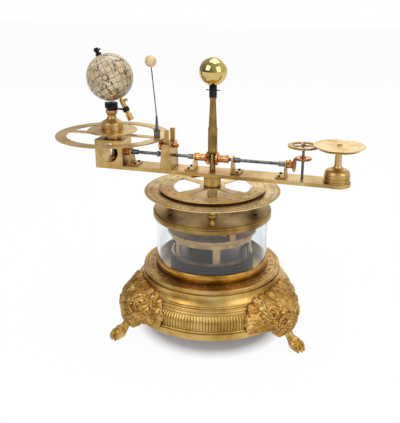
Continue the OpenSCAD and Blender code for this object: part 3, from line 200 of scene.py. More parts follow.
def engraving(tree, centreX, topZ, rings):
    # cut lines on a dial: each row is ticks round the ring, inner and outer radius and width in mm;
    # a row without ticks is a plain circle at the first radius
    coords = addNode(tree, "TexCoord")
    toCentre = (-centreX / 1000, 0.0, -topZ / 1000)
    local = addNode(tree, "Mapping", {"Vector": coords.outputs["Object"], "Location": toCentre})
    axes = addNode(tree, "SeparateXYZ", {"Vector": local})
    flat = addNode(tree, "VectorMath", {0: local, 1: (1.0, 1.0, 0.0)}, operation="MULTIPLY")
    radius = addNode(tree, "VectorMath", {0: flat}, operation="LENGTH").outputs["Value"]
    angle = addNode(tree, "Math", {0: axes.outputs["Y"], 1: axes.outputs["X"]}, operation="ARCTAN2")
    cut = None
    for ticks, inner, outer, width in rings:
        reach = width / 2 / 1000
        if ticks:
            gap = angle  # becomes the distance to the nearest tick's middle, in metres
            for operation, value in (
                ("MULTIPLY", ticks / (2 * math.pi)), ("ADD", 0.5), ("FRACT", 0.0), ("SUBTRACT", 0.5),
                ("ABSOLUTE", 0.0), ("MULTIPLY", 2 * math.pi / ticks), ("MULTIPLY", radius),
            ):
                gap = addNode(tree, "Math", {0: gap, 1: value}, operation=operation)
            line = addNode(tree, "Math", {0: gap, 1: reach}, operation="LESS_THAN")
            within = addNode(tree, "Math", {0: radius, 1: inner / 1000}, operation="GREATER_THAN")
            before = addNode(tree, "Math", {0: radius, 1: outer / 1000}, operation="LESS_THAN")
            line = addNode(tree, "Math", {0: line, 1: within}, operation="MULTIPLY")
            line = addNode(tree, "Math", {0: line, 1: before}, operation="MULTIPLY")
        else:
            line = addNode(tree, "Math", {0: radius, 1: inner / 1000, 2: reach}, operation="COMPARE")
        cut = line if cut is None else addNode(tree, "Math", {0: cut, 1: line}, operation="MAXIMUM")
    faceDepth = -0.0003  # metres under the dial's face, within which lines show
    top = addNode(tree, "Math", {0: axes.outputs["Z"], 1: faceDepth}, operation="GREATER_THAN")
    return addNode(tree, "Math", {0: cut, 1: top}, operation="MULTIPLY")


metalWork = {  # what every metal has unless its own look says otherwise; sizes in mm
    "metallic": 1.0, "stretch": (1.0, 1.0, 1.0), "shadeAndDirtReach": 5, "relief": 0, "crest": 0.05,
    "deepAt": 0.34, "colourAt": 0.5, "brightAt": 0.68, "toneDetail": 5.0, "grainDetail": 3.0,
    "breakUp": 0.6, "shut": 0.35, "open": 0.9, "grainDepth": 0.2, "edge": 0.3, "wax": "#2A1A0C",
}


def metalMaterial(name, look, lines=None):
    # worked metal: tone drifts over centimetres, fine grain breaks the gloss, and ambient occlusion darkens
    # the colour in the recesses: painted shade together with dirt
    look = {**metalWork, **look}
    material, tree, shader = startMaterial(name)
    place = addNode(tree, "TexCoord").outputs["Object"]
    stretch = addNode(tree, "Mapping", {"Vector": place, "Scale": look["stretch"]})
    tone, grain = (
        addNode(tree, "TexNoise", {
            "Vector": vector, "Scale": 1000 / look[size], "Detail": look[size + "Detail"],
            "Roughness": look["breakUp"],
        })
        for vector, size in ((place, "tone"), (stretch, "grain"))
    )
    ramp = addNode(tree, "ValToRGB", {"Fac": tone}, [
        (look[key + "At"], toLinear(look[key])) for key in ("deep", "bright", "colour")
    ])
    # painted shade and dirt: the colour darkens toward the recess colour where ambient occlusion finds the
    # surface hemmed in
    shade = addNode(tree, "AmbientOcclusion", {"Distance": look["shadeAndDirtReach"] / 1000}, samples=6)
    shadeAndDirt = addNode(tree, "MapRange", {
        "Value": shade.outputs["AO"], "From Min": look["shut"], "From Max": look["open"],
        "To Min": look["shadeAndDirt"], "To Max": 0.0,
    })
    if look["relief"]:  # painted shade in the chased ground: ground that lies this far under what is round it is darkened as much as a recess
        cast = addNode(tree, "Attribute", attribute_name="relief")
        groundShade = addNode(tree, "MapRange", {
            "Value": cast.outputs["Fac"], "From Min": -look["relief"], "From Max": look["crest"],
            "To Min": look["shadeAndDirt"], "To Max": 0.0,
        })
        shadeAndDirt = addNode(tree, "Math", {0: shadeAndDirt, 1: groundShade}, operation="MAXIMUM")
    colour = addNode(tree, "MixRGB", {"Fac": shadeAndDirt, "Color1": ramp, "Color2": toLinear(look["recess"])})
    gloss = addNode(tree, "MapRange", {
        "Value": grain, "From Min": 0.3, "From Max": 0.7,
        "To Min": look["rough"] - look["roughSpread"], "To Max": look["rough"] + look["roughSpread"],
    })
    height = grain
    if lines:
        cut = engraving(tree, *lines)
        colour = addNode(tree, "MixRGB", {"Fac": cut, "Color1": colour, "Color2": toLinear(look["wax"])})
        height = addNode(tree, "Math", {0: grain, 1: cut}, operation="SUBTRACT")
    soft = addNode(tree, "Bevel", {"Radius": look["edge"] / 1000}, samples=4)
    bump = addNode(tree, "Bump", {
        "Height": height, "Strength": look["bump"], "Distance": look["grainDepth"] / 1000, "Normal": soft,
    })
    setInputs(tree, shader, {
        "Base Color": colour, "Roughness": gloss, "Normal": bump, "Metallic": look["metallic"],
    })
    return material


giltLook = {  # fire-gilt brass, cast and chased: warm, half matt, brown in the hollows
    "colour": "#C6A35C", "deep": "#A88240", "bright": "#D9BB7C", "recess": "#5A3C16", "shadeAndDirt": 0.6,
    "tone": 34, "grain": 0.9, "rough": 0.38, "roughSpread": 0.07, "bump": 0.12,
}
footLook = {  # the same gilding on the chased mounts: richer, bright on the leaves, with painted shade in the ground
    "colour": "#BC9048", "deep": "#966A2E", "bright": "#DDB872", "recess": "#4E2E0A", "shadeAndDirt": 0.8,
    "tone": 12, "grain": 0.7, "rough": 0.4, "roughSpread": 0.08, "bump": 0.15, "shadeAndDirtReach": 3,
    "relief": 0.5,
}
bezelLook = {  # turned and burnished gilt ring: a deeper gold
    "colour": "#BC8E3C", "deep": "#936A24", "bright": "#D0A658", "recess": "#4A2C0C", "shadeAndDirt": 0.8,
    "tone": 30, "grain": 0.8, "rough": 0.3, "roughSpread": 0.05, "bump": 0.08, "shadeAndDirtReach": 6,
}
chapterLook = {  # gilt ring rubbed down to the brass: browner and flatter
    "colour": "#BE9656", "deep": "#95703A", "bright": "#D2AE70", "recess": "#4A3014", "shadeAndDirt": 0.6,
    "tone": 30, "grain": 0.8, "rough": 0.4, "roughSpread": 0.06, "bump": 0.1, "shadeAndDirtReach": 4,
}
dialLook = {  # flat brass, grained and waxed: paler, duller
    "colour": "#D8BC84", "deep": "#BC9A5E", "bright": "#E8D2A2", "recess": "#5A3E1C", "shadeAndDirt": 0.4,
    "tone": 26, "grain": 0.8, "rough": 0.42, "roughSpread": 0.07, "bump": 0.1,
}
paleLook = {  # milled and lacquered brass plate: pale straw with a soft sheen, its grain along the beam
    "colour": "#C4A263", "deep": "#A48144", "bright": "#D8BC82", "recess": "#53391A", "shadeAndDirt": 0.55,
    "tone": 30, "grain": 0.7, "rough": 0.38, "roughSpread": 0.06, "bump": 0.08,
    "stretch": (0.25, 1.0, 1.0),
}
capLook = {  # spun brass, satin: olive brown, with soft dark reflections
    "colour": "#A08248", "deep": "#74592C", "bright": "#BD9D62", "recess": "#3E2910", "shadeAndDirt": 0.6,
    "tone": 40, "grain": 0.8, "rough": 0.34, "roughSpread": 0.05, "bump": 0.08,
}
wheelLook = {  # cut wheel brass: bright flanks, brown at the teeth's roots
    "colour": "#BF9446", "deep": "#8F6728", "bright": "#D9B468", "recess": "#3C2409", "shadeAndDirt": 0.8,
    "tone": 9, "grain": 0.5, "rough": 0.28, "roughSpread": 0.07, "bump": 0.1, "shadeAndDirtReach": 2,
}
copperLook = {  # reddish gunmetal, polished then toned by age
    "colour": "#C78B52", "deep": "#965E30", "bright": "#E2AE78", "recess": "#361806", "shadeAndDirt": 0.85,
    "tone": 7, "grain": 0.5, "rough": 0.27, "roughSpread": 0.07, "bump": 0.1, "shadeAndDirtReach": 2,
}
steelLook = {  # blued steel rod, drawn: cool grey with fine lines along it
    "colour": "#68686A", "deep": "#46464A", "bright": "#8E8C8C", "recess": "#15161A", "shadeAndDirt": 0.6,
    "tone": 12, "grain": 0.4, "rough": 0.3, "roughSpread": 0.08, "bump": 0.08,
    "stretch": (0.15, 1.0, 1.0),
}
blackLook = {  # blackened brass and iron: near black, its sheen uneven
    "colour": "#1E1B1A", "deep": "#121010", "bright": "#37312D", "recess": "#080707", "shadeAndDirt": 0.5,
    "tone": 8, "grain": 0.6, "rough": 0.4, "roughSpread": 0.1, "bump": 0.15, "metallic": 0.8,
}
shadeWallLook = {  # dark brown brass: a dull dark wall under the hour wheel's rim, put there as painted shade for the gap under the rim
    "colour": "#4A2C18", "deep": "#2E1A0E", "bright": "#6A4426", "recess": "#140A05", "shadeAndDirt": 0.7,
    "tone": 14, "grain": 0.6, "rough": 0.42, "roughSpread": 0.08, "bump": 0.1, "metallic": 0.9,
}
movementLook = {  # satin brass of the movement, a little rosy
    "colour": "#B08A5A", "deep": "#7C5A3E", "bright": "#CFAA74", "recess": "#2E1D14", "shadeAndDirt": 0.75,
    "tone": 20, "grain": 0.6, "rough": 0.36, "roughSpread": 0.06, "bump": 0.08,
}
bandLook = {  # bronzed steel band under the movement: purple-brown, with painted shade from what stands near it
    "colour": "#4E3A30", "deep": "#32241E", "bright": "#6E5646", "recess": "#140E0C", "shadeAndDirt": 0.95,
    "tone": 22, "grain": 0.6, "rough": 0.3, "roughSpread": 0.06, "bump": 0.06, "shadeAndDirtReach": 14,
}
mirrorLook = {  # ball polished to a mirror, with the faintest haze
    "colour": "#CDB474", "deep": "#BCA262", "bright": "#D8C286", "recess": "#5A3F12", "shadeAndDirt": 0.2,
    "tone": 16, "grain": 1.2, "rough": 0.05, "roughSpread": 0.015, "bump": 0.01,
}

gilt = metalMaterial("giltBrassCast", giltLook)
footGilt = metalMaterial("giltBrassChased", footLook)
bezelGilt = metalMaterial("giltBrassTurned", bezelLook)
pale = metalMaterial("brassPlateLacquered", paleLook)
cap = metalMaterial("brassSpunSatin", capLook)
wheel = metalMaterial("wheelBrassCut", wheelLook)
copper = metalMaterial("gunmetalPolished", copperLook)
steel = metalMaterial("steelRodBlued", steelLook)
shadeWallDark = metalMaterial("brassPaintedShadeWall", shadeWallLook)
black = metalMaterial("brassBlackened", blackLook)
movement = metalMaterial("movementBrassSatin", movementLook)
band = metalMaterial("steelBandBronzed", bandLook)
mirror = metalMaterial("brassMirrorPolished", mirrorLook)

# Engraved rings: ticks, inner radius, outer radius and width of the line, in mm
outerDial = metalMaterial("brassDialOuterEngraved", dialLook, [0, topOf("outer_dial_ring"), [
    (360, 86.2, 88.6, 0.35), (72, 84.6, 88.6, 0.5), (12, 73.0, 88.6, 0.6),
    (0, 86.2, 0, 0.35), (0, 88.6, 0, 0.4), (0, 78.4, 0, 0.35),
]])
hourDial = metalMaterial("brassDialHourEngraved", dialLook, [0, topOf("hour_wheel"), [
    (24, 65.2, 68.8, 0.7), (144, 66.8, 68.8, 0.4), (0, 69.0, 0, 0.4), (0, 54.6, 0, 0.4),
]])
chapterDial = metalMaterial("brassChapterRingEngraved", chapterLook, [0, topOf("chapter_ring"), [
    (0, 76.6, 0, 0.45), (0, 77.4, 0, 0.35), (0, 87.5, 0, 0.5),
    (360, 87.5, 88.9, 0.35), (36, 87.5, 90.0, 0.45),
]])
smallDial = metalMaterial("brassDialSmallEngraved", dialLook, [dialX, topOf("dial_disc"), [
    (60, 28.6, 30.4, 0.35), (12, 26.8, 30.4, 0.5),
    (0, 30.4, 0, 0.35), (0, 15.4, 0, 0.4), (0, 22.4, 0, 0.25),
]])
ringPlate = metalMaterial("brassRingPlate", paleLook, [earthX, topOf("moon_ring"), [
    (120, 73.4, 75.2, 0.3), (0, 75.2, 0, 0.3), (0, 63.0, 0, 0.3),
]])

glassLook = {  # blown crown glass, ground to a cylinder: clear, with a faint cool tint; sizes in mm
    "tint": "#F4F8FA", "ior": 1.47, "waves": 45.45, "waveDepth": 0.4, "waveStrength": 0.05,
    "film": 22.22, "filmFrom": 0.4, "filmTo": 0.75, "haze": 0.05,
}


def glassMaterial(look):
    # old glass is a little wavy, and a thin film of dust dulls it here and there
    material, tree, shader = startMaterial("glassCrownClear")
    place = addNode(tree, "TexCoord").outputs["Object"]
    wave = addNode(tree, "TexNoise", {"Vector": place, "Scale": 1000 / look["waves"], "Detail": 2.0})
    film = addNode(tree, "TexNoise", {"Vector": place, "Scale": 1000 / look["film"], "Detail": 6.0})
    haze = addNode(tree, "MapRange", {
        "Value": film, "From Min": look["filmFrom"], "From Max": look["filmTo"],
        "To Min": 0.0, "To Max": look["haze"],
    })
    bump = addNode(tree, "Bump", {
        "Height": wave, "Strength": look["waveStrength"], "Distance": look["waveDepth"] / 1000,
    })
    setInputs(tree, shader, {
        "Base Color": toLinear(look["tint"]), "Transmission Weight": 1.0, "IOR": look["ior"],
        "Roughness": haze, "Normal": bump,
    })
    return material


woodLook = {  # stained beech board: dark, with long rings across the grain; size and depth in mm
    "pattern": "TexNoise", "stretch": (1.0, 8.0, 1.0), "size": 33.333, "detail": 6.0,
    "distortion": 0.6, "stops": ((0.35, "#2E1B0E"), (0.7, "#5F3D22")), "rough": 0.5,
    "bump": 0.2, "depth": 0.4,
}
boneLook = {  # turned bone ball: cream with faint rings and a little light within
    "pattern": "TexWave", "size": 45.4545, "detail": 2.0,
    "distortion": 2.0, "stops": ((0.0, "#C0A478"), (1.0, "#D4BA90")), "rough": 0.35,
    "bump": 0.08, "depth": 0.2, "glow": 0.08,
}
waxLook = {  # wax rubbed into engraving: near black, worn to brown in places
    "pattern": "TexNoise", "size": 3.3333, "detail": 4.0, "distortion": 0.0,
    "stops": ((0.4, "#21150A"), (0.75, "#3A2610")), "rough": 0.6,
}


def plainMaterial(name, look):
    # one pattern gives both the colour, between two tones, and the relief where there is any
    material, tree, shader = startMaterial(name)
    coords = addNode(tree, "TexCoord")
    scale = look.get("stretch", (1.0, 1.0, 1.0))
    stretch = addNode(tree, "Mapping", {"Vector": coords.outputs["Object"], "Scale": scale})
    pattern = addNode(tree, look["pattern"], {
        "Vector": stretch, "Scale": 1000 / look["size"], "Detail": look["detail"],
        "Distortion": look["distortion"],
    }).outputs["Fac"]
    stops = [(place, toLinear(colour)) for place, colour in look["stops"]]
    ramp = addNode(tree, "ValToRGB", {"Fac": pattern}, stops)
    setInputs(tree, shader, {
        "Base Color": ramp, "Roughness": look["rough"], "Subsurface Weight": look.get("glow", 0.0),
    })
    if "bump" in look:
        bump = addNode(tree, "Bump", {
            "Height": pattern, "Strength": look["bump"], "Distance": look["depth"] / 1000,
        })
        setInputs(tree, shader, {"Normal": bump})
    return material


mapLook = {  # engraved paper gores under old varnish: cream, brown coasts, graticule and fine script
    "paper": ((0.35, "#A3906C"), (0.65, "#D6C9A8")), "paperSize": 16.6667, "paperDepth": 0.2,  # mm
    "land": "#C4A674", "landSize": 27.7778, "landFrom": 0.49, "landTint": 0.55,
    "coast": ("#3E2C1A", 0.95), "coastWidth": 0.011,
    "border": ("#5A442C", 0.28), "borderSize": 8.33333, "borderWidth": 0.06,
    "script": ("#503C28", 0.6), "strokes": (150.0, 130.0, 1.0), "strokeFrom": 0.58,
    "words": 26.0, "wordFrom": 0.55,
    "grid": ("#5E4A36", 0.7), "meridians": (24.0, 0.06), "parallels": (12.0, 0.055),
    "rough": 0.45, "bump": 0.12, "varnish": 0.25, "varnishRough": 0.2,
}


def globeMaterial(look):
    # paper, then land, then each kind of printed line laid over it with its own ink and strength
    material, tree, shader = startMaterial("paperMapVarnished")
    coords = addNode(tree, "TexCoord")
    place, chart = coords.outputs["Object"], coords.outputs["UV"]
    paper = addNode(tree, "TexNoise", {
        "Vector": place, "Scale": 1000 / look["paperSize"], "Detail": 6.0, "Roughness": 0.65,
    })
    land = addNode(tree, "TexNoise", {
        "Vector": place, "Scale": 1000 / look["landSize"], "Detail": 7.0, "Roughness": 0.55,
    })
    colour = addNode(tree, "ValToRGB", {"Fac": paper}, [(at, toLinear(tone)) for at, tone in look["paper"]])
    onLand = addNode(tree, "Math", {0: land, 1: look["landFrom"]}, operation="GREATER_THAN")
    tint = addNode(tree, "Math", {0: onLand, 1: look["landTint"]}, operation="MULTIPLY")
    colour = addNode(tree, "MixRGB", {"Fac": tint, "Color1": colour, "Color2": toLinear(look["land"])})
    coast = addNode(
        tree, "Math", {0: land, 1: look["landFrom"], 2: look["coastWidth"]}, operation="COMPARE"
    )
    cells = addNode(
        tree, "TexVoronoi", {"Vector": place, "Scale": 1000 / look["borderSize"]},
        feature="DISTANCE_TO_EDGE",
    ).outputs["Distance"]
    border = addNode(tree, "Math", {0: cells, 1: look["borderWidth"]}, operation="LESS_THAN")
    strokes = addNode(tree, "Mapping", {"Vector": chart, "Scale": look["strokes"]})
    strokes = addNode(tree, "TexNoise", {"Vector": strokes, "Scale": 1.0, "Detail": 2.0})
    words = addNode(tree, "TexNoise", {"Vector": chart, "Scale": look["words"], "Detail": 1.0})
    strokes = addNode(tree, "Math", {0: strokes, 1: look["strokeFrom"]}, operation="GREATER_THAN")
    words = addNode(tree, "Math", {0: words, 1: look["wordFrom"]}, operation="GREATER_THAN")
    script = addNode(tree, "Math", {0: strokes, 1: words}, operation="MULTIPLY")
    around = addNode(tree, "SeparateXYZ", {"Vector": chart})
    lines = []
    for axis, (count, halfWidth) in (("X", look["meridians"]), ("Y", look["parallels"])):
        cell = addNode(tree, "Math", {0: around.outputs[axis], 1: count}, operation="MULTIPLY")
        cell = addNode(tree, "Math", {0: cell}, operation="FRACT")
        lines.append(addNode(tree, "Math", {0: cell, 1: 0.5, 2: halfWidth}, operation="COMPARE"))
    grid = addNode(tree, "Math", {0: lines[0], 1: lines[1]}, operation="MAXIMUM")
    for mask, kind in ((grid, "grid"), (border, "border"), (script, "script"), (coast, "coast")):
        tone, strength = look[kind]
        amount = addNode(tree, "Math", {0: mask, 1: strength}, operation="MULTIPLY")
        colour = addNode(tree, "MixRGB", {"Fac": amount, "Color1": colour, "Color2": toLinear(tone)})
    bump = addNode(tree, "Bump", {
        "Height": paper, "Strength": look["bump"], "Distance": look["paperDepth"] / 1000,
    })
    setInputs(tree, shader, {
        "Base Color": colour, "Normal": bump, "Roughness": look["rough"],
        "Coat Weight": look["varnish"], "Coat Roughness": look["varnishRough"],
    })
    return material


glass = glassMaterial(glassLook)
wood = plainMaterial("beechStained", woodLook)
mapPaper = globeMaterial(mapLook)
bone = plainMaterial("boneTurned", boneLook)
wax = plainMaterial("engravingWax", waxLook)
print("materials made")

# Finishes of the CAD nodes that stay

finishes = {
    gilt: ["plinth_casting", "dial_pillars", "beam_hub"],
    bezelGilt: ["lower_bezel"],
    pale: ["beam", "earth_block", "earth_pedestal", "ring_bracket", "left_outer_bracket",
           "left_inner_bracket", "right_inner_bracket", "right_outer_bracket", "right_pedestal"],
    cap: ["drum_cap", "sun_column"],
    wheel: ["column_gear", "earth_bevel", "idler_wheel", "dial_gear", "axis_tube", "globe_axle"],
    copper: ["left_inner_bevel", "right_inner_bevel", "right_outer_bevel", "arbor_bevel", "block_bush",
             "ring_roller", "balance_wheel"],
    steel: ["left_shaft", "right_shaft", "right_arbor", "earth_arbor", "moon_stem"],
    black: ["sun_sleeve", "sun_cross_pin", "axis_arm", "clamp_nut", "globe_finial", "ring_screws",
            "bracket_screws", "left_outer_bevel"],
    movement: ["movement_cage", "movement_top_plate", "mainspring_barrel", "centre_wheel"],
    band: ["movement_base"],
    outerDial: ["outer_dial_ring"],
    hourDial: ["hour_wheel"],
    chapterDial: ["chapter_ring"],
    smallDial: ["dial_disc"],
    ringPlate: ["moon_ring"],
    glass: ["glass_cylinder"],
    wood: ["underside_plate"],
}
for material, names in finishes.items():
    for name in names:
        nodes[name].data.materials.clear()
        nodes[name].data.materials.append(material)
nodes["glass_cylinder"].visible_shadow = False  # clear glass lets the lamps reach the movement
print("CAD nodes finished")

# Sun, globe and moon, in mm; around and up are the counts of points

sunBall = {"radius": 17.6, "x": 0, "z": 346.5, "lean": 0.0, "around": 160, "up": 96}
globeBall = {"radius": 30.6, "x": earthX, "z": 333.6, "lean": -27.0, "around": 144, "up": 97}
moonBall = {"radius": 7.5, "x": earthX + 57.8, "z": 356.0, "lean": 0.0, "around": 64, "up": 48}


def ballPiece(name, look, *finish):
    # a ball leaned in its place: material, body, CAD node that it stands for and slot name; the slot name
    # is not used
    shape = ball(look["radius"], look["around"], look["up"])
    return makePiece(name, [placed(shape, lean=look["lean"], at=(look["x"], 0, look["z"]))], *finish)


def mapCoordinates(piece, look):
    # longitude and latitude about the leaning axis, as the piece's own UV map
    mesh = piece.data
    points = np.empty(len(mesh.vertices) * 3)
    mesh.vertices.foreach_get("co", points)
    points = points.reshape(-1, 3) * 1000 - np.array([look["x"], 0, look["z"]])
    a = math.radians(-look["lean"])
    x = points[:, 0] * math.cos(a) + points[:, 2] * math.sin(a)
    z = -points[:, 0] * math.sin(a) + points[:, 2] * math.cos(a)
    corner = np.empty(len(mesh.loops), int)
    mesh.loops.foreach_get("vertex_index", corner)
    east = np.arctan2(points[:, 1], x)[corner] / (2 * np.pi) + 0.5
    north = np.arcsin(np.clip(z / look["radius"], -1, 1))[corner] / np.pi + 0.5
    starts = [p.loop_start for p in mesh.polygons]
    first = np.repeat(east[starts], [p.loop_total for p in mesh.polygons])
    east = east + np.round(first - east)  # keeps a face that crosses the seam in one piece
    layer = mesh.uv_layers.new(name="mapGrid")
    layer.data.foreach_set("uv", np.stack([east, north], -1).reshape(-1))


ballPiece("sunBall", sunBall, mirror, "base", ["sun_ball"], "mirror_brass")
globePiece = ballPiece("globeBall", globeBall, mapPaper, "globe", ["globe"], "globe_paper")
mapCoordinates(globePiece, globeBall)
ballPiece("moonBall", moonBall, bone, "moon_ring", ["moon_ball"], "ivory")
print("balls made")

# Dark wall under the hour wheel's rim: painted shade in the gap there

shadeWall = {"outer": 69.4, "inner": 66.4, "below": 1.2, "drop": 7.5}
shadeWallTop = topOf("hour_wheel") - shadeWall["below"]
shadeWallProfile = [
    [shadeWall["inner"], shadeWallTop], [shadeWall["inner"], shadeWallTop - shadeWall["drop"]],
    [shadeWall["outer"], shadeWallTop - shadeWall["drop"]], [shadeWall["outer"], shadeWallTop],
]
shadeWallShape = turned(softened(shadeWallProfile), closed=True)
# painted shade: this dark wall stands where the gap under the hour wheel's rim is only in shade
makePiece("hourWheelShadeWall", [shadeWallShape], shadeWallDark, "hour_wheel", fixNormals=True)
print("skirt made")

# Fluted gallery

gallery = {
    "foot": 112.0, "top": 106.3, "inner": 101.5, "flutes": 180, "depth": 1.25, "samples": 10,
    "swellTo": 0.38, "draw": 2.2, "fluteEnd": 0.07, "rows": 18,
}


def flutedBand(look):
    # radius(angle, rise): upright at the foot, drawn in by a power curve toward the top, less the gaps
    # between half-round reeds, which fade out by a root at both rims
    a = np.linspace(0, 2 * np.pi, look["flutes"] * look["samples"], endpoint=False)[:, None]
    t = np.concatenate([[0, 0.004], np.linspace(0.03, 0.97, look["rows"]), [0.996, 1]])[None, :]
    turnIn = np.clip((t - look["swellTo"]) / (1 - look["swellTo"]), 0, 1) ** look["draw"]
    radius = look["top"] + (look["foot"] - look["top"]) * (1 - turnIn)
    across = np.abs(((a * look["flutes"] / (2 * np.pi)) % 1) * 2 - 1)
    gap = 1 - np.sqrt(np.clip(1 - across**2, 0, 1))
    ends = np.clip(np.minimum(t, 1 - t) / look["fluteEnd"], 0, 1) ** 0.5
    radius = radius - look["depth"] * gap * ends
    bottom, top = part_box("fluted_gallery")[0][2] * 1000, topOf("fluted_gallery")
    z = bottom + (top - bottom) * t
    points = np.stack([np.cos(a) * radius, np.sin(a) * radius, np.broadcast_to(z, radius.shape)], -1)
    upper = np.stack([np.cos(a) * look["inner"], np.sin(a) * look["inner"], np.full(a.shape, top)], -1)
    lower = upper.copy()
    lower[..., 2] = bottom
    return surface(np.concatenate([points, upper, lower], 1), wrapU=True, wrapV=True)


makePiece("flutedBand", [flutedBand(gallery)], gilt, "base", ["fluted_gallery"], "gilt", sharp=50)
print("gallery made")

# Feet

foot = {  # u goes across the plinth's curve and v up from its underside, both in mm
    "angles": {"Right": -20.0, "Left": -140.0, "Rear": 100.0},
    "curve": 114.0, "underside": 31.0, "hub": (0.0, 20.0),
    "columns": 440, "rows": 100, "backRows": 14,
    "raiseFrom": 20, "raise": 1.06, "cornerRaise": 0.2, "cornerAt": 40,
    "thick": 2.4, "wingEnd": 68, "wingTop": 80, "wingFade": 12,
    "kneeAt": 80.5, "behind": 6, "fillet": 3.0,
    "lift": 1.05, "smoothing": 14, "flatRelief": 0.2,
}
frontZ = [19, 43.6, 50.8, 56.1, 59.7, 62.9, 66.5, 70.1, 73.3, 77.7, 80]  # the mount's skin beside the knee
frontR = [115.3, 115.3, 113.4, 112.0, 109.5, 107.4, 105.6, 102.6, 101.0, 99.6, 97.2]
backZ = [19, 43.4, 44.2, 50.8, 55.2, 58.8, 61.5, 64.1, 66, 67.6, 68.6, 70.4, 71.1, 73.2, 76, 78, 81]
backR = [114.2, 114.2, 112.2, 112.2, 111.3, 109.1, 106.5, 104.4, 104.4,  # along the plinth's side
         102, 101.9, 101.4, 98.9, 97.2, 95.8, 95.4, 94.6]
kneeZ = [20, 26, 31, 38, 49, 55, 60, 65, 70, 74, 78, 80]  # the knee's own radius at each height
kneeR = [45, 47, 48.8, 49, 49, 47.6, 45, 41, 35.4, 29.4, 21.5, 16.5]


def mountHeight(u, v):
    # height over the table: the mount's upper corners are drawn up toward the lip under the cove
    corner = np.minimum(np.abs(u), foot["cornerAt"]) / foot["cornerAt"]
    raised = foot["raise"] + foot["cornerRaise"] * corner**2
    low = foot["raiseFrom"]
    return foot["underside"] + np.where(v > low, low + (v - low) * raised, v)


def mountSkin(u, v):
    # the mount's skin: the plinth's side with wings thick in their middle, smoothly joined to a broad
    # knee, whose plan is a circle about a point inside the plinth and narrows toward its top
    height = mountHeight(u, v)
    angle = u / foot["curve"]
    thinning = np.clip(1 - (u / foot["wingEnd"]) ** 2, 0, 1)
    wing = foot["thick"] * thinning * np.clip((foot["wingTop"] - height) / foot["wingFade"], 0, 1)
    front = np.interp(height, frontZ, frontR) + wing
    knee = np.interp(height, kneeZ, kneeR)
    reach = knee**2 - (foot["kneeAt"] * np.sin(angle)) ** 2
    bulge = foot["kneeAt"] * np.cos(angle) + np.sqrt(np.clip(reach, 0, None))
    bulge = np.where(reach > 0, bulge, front - foot["behind"])
    radius = (front + bulge + np.sqrt((front - bulge) ** 2 + foot["fillet"])) / 2
    return np.stack([radius * np.cos(angle), radius * np.sin(angle), height], -1)


scallops = [  # lobes round the mount's edge: centre, radius, first and last angle, points
    (13, 38, 6.2, 110, 20, 8), (26, 36.4, 6.4, 115, 15, 8), (39, 33.4, 6.6, 115, 10, 8),
    (51, 29.4, 6.8, 110, 10, 8), (59, 20.5, 7.0, 80, -40, 10), (57, 12.6, 6.4, 15, -80, 8),
    (46.5, 10.2, 6.4, -20, -110, 8), (36, 10, 6.0, -45, -120, 8), (17, -3, 5.5, 0, -110, 8),
]


def mountOutline(count):
    # scalloped edge of the mount, as the CAD has it, with points evenly along it
    arcs = [arc(*scallop) for scallop in scallops]
    half = np.concatenate([
        [[0, 45.5], [5, 43.6]], *arcs[:-1], [[28.5, 6.5], [24, 0.8]], arcs[-1],
        [[12, -8.5], [9, -6], [0, -6]],
    ])
    loop = np.concatenate([half, half[-2:0:-1] * [-1, 1], half[:1]])
    run = np.concatenate([[0], np.cumsum(np.linalg.norm(np.diff(loop, axis=0), axis=1))])
    at = np.linspace(0, run[-1], count, endpoint=False)
    return np.stack([np.interp(at, run, loop[:, k]) for k in (0, 1)], -1)


def strokePath(start, heading, bend, length, power, count):
    # a stroke whose heading turns by bend degrees in all, faster toward its tip
    s = np.linspace(0, 1, count)
    way = np.radians(heading + bend * s**power)
    step = length / (count - 1)
    across = start[0] + np.concatenate([[0], np.cumsum(np.sin(way[:-1]))]) * step
    up = start[1] + np.concatenate([[0], np.cumsum(np.cos(way[:-1]))]) * step
    return across, up, way, s


def alongStroke(u, v, path, length):
    # for each point its share along a stroke, its distance to the side, and its plain distance
    across, up, way, s = path
    gap = (u[:, None] - across) ** 2 + (v[:, None] - up) ** 2
    k = np.argmin(gap, 1)
    du, dv = u - across[k], v - up[k]
    forward = du * np.sin(way[k]) + dv * np.cos(way[k])
    side = du * np.cos(way[k]) - dv * np.sin(way[k])
    return s[k] + forward / length, side, np.sqrt(gap[np.arange(len(u)), k])


leafForm = {"crown": 1.2, "vein": 0.3, "midrib": 0.7, "midribWidth": 0.5, "power": 1.6, "steps": 30}
scrollForm = {"thinning": 0.45, "groove": 0.4, "grooveWidth": 0.35, "button": 0.5, "buttonSize": 1.15,
              "power": 2.0, "steps": 90}
shellForm = {"rim": 0.35, "dome": 1.1, "spread": 1.06, "rib": 0.3, "ribs": 26}


def leafHeight(u, v, start, heading, bend, length, width, lobes, lift):
    # acanthus leaf: its half width is a power of a sine times forward-swept lobes; over it stands
    # a half ellipse, less veins that follow the lobes and a crease along the midrib
    path = strokePath(start, heading, bend, length, leafForm["power"], leafForm["steps"])
    along, side, _ = alongStroke(u, v, path, length)
    s, q = np.clip(along, 0, 1), np.abs(side)
    saw = (s * lobes - 0.5 * q / width) % 1
    taper = np.sin(np.pi * (0.06 + 0.9 * s) ** 0.75) ** 0.6
    edge = width * taper * (0.66 + 0.42 * np.sin(np.pi * saw) ** 0.6)
    share = q / edge
    crown = leafForm["crown"] * np.sqrt(np.clip(1 - share**2, 0, 1))
    veins = -leafForm["vein"] * np.cos(2 * np.pi * saw) * np.clip(share * 1.6, 0, 1)
    crease = leafForm["midrib"] * np.exp(-((q / leafForm["midribWidth"]) ** 2))
    height = lift * (0.4 + 0.6 * s) + crown + veins - crease
    return np.where((np.abs(along - 0.5) < 0.52) & (share < 1), height, 0)


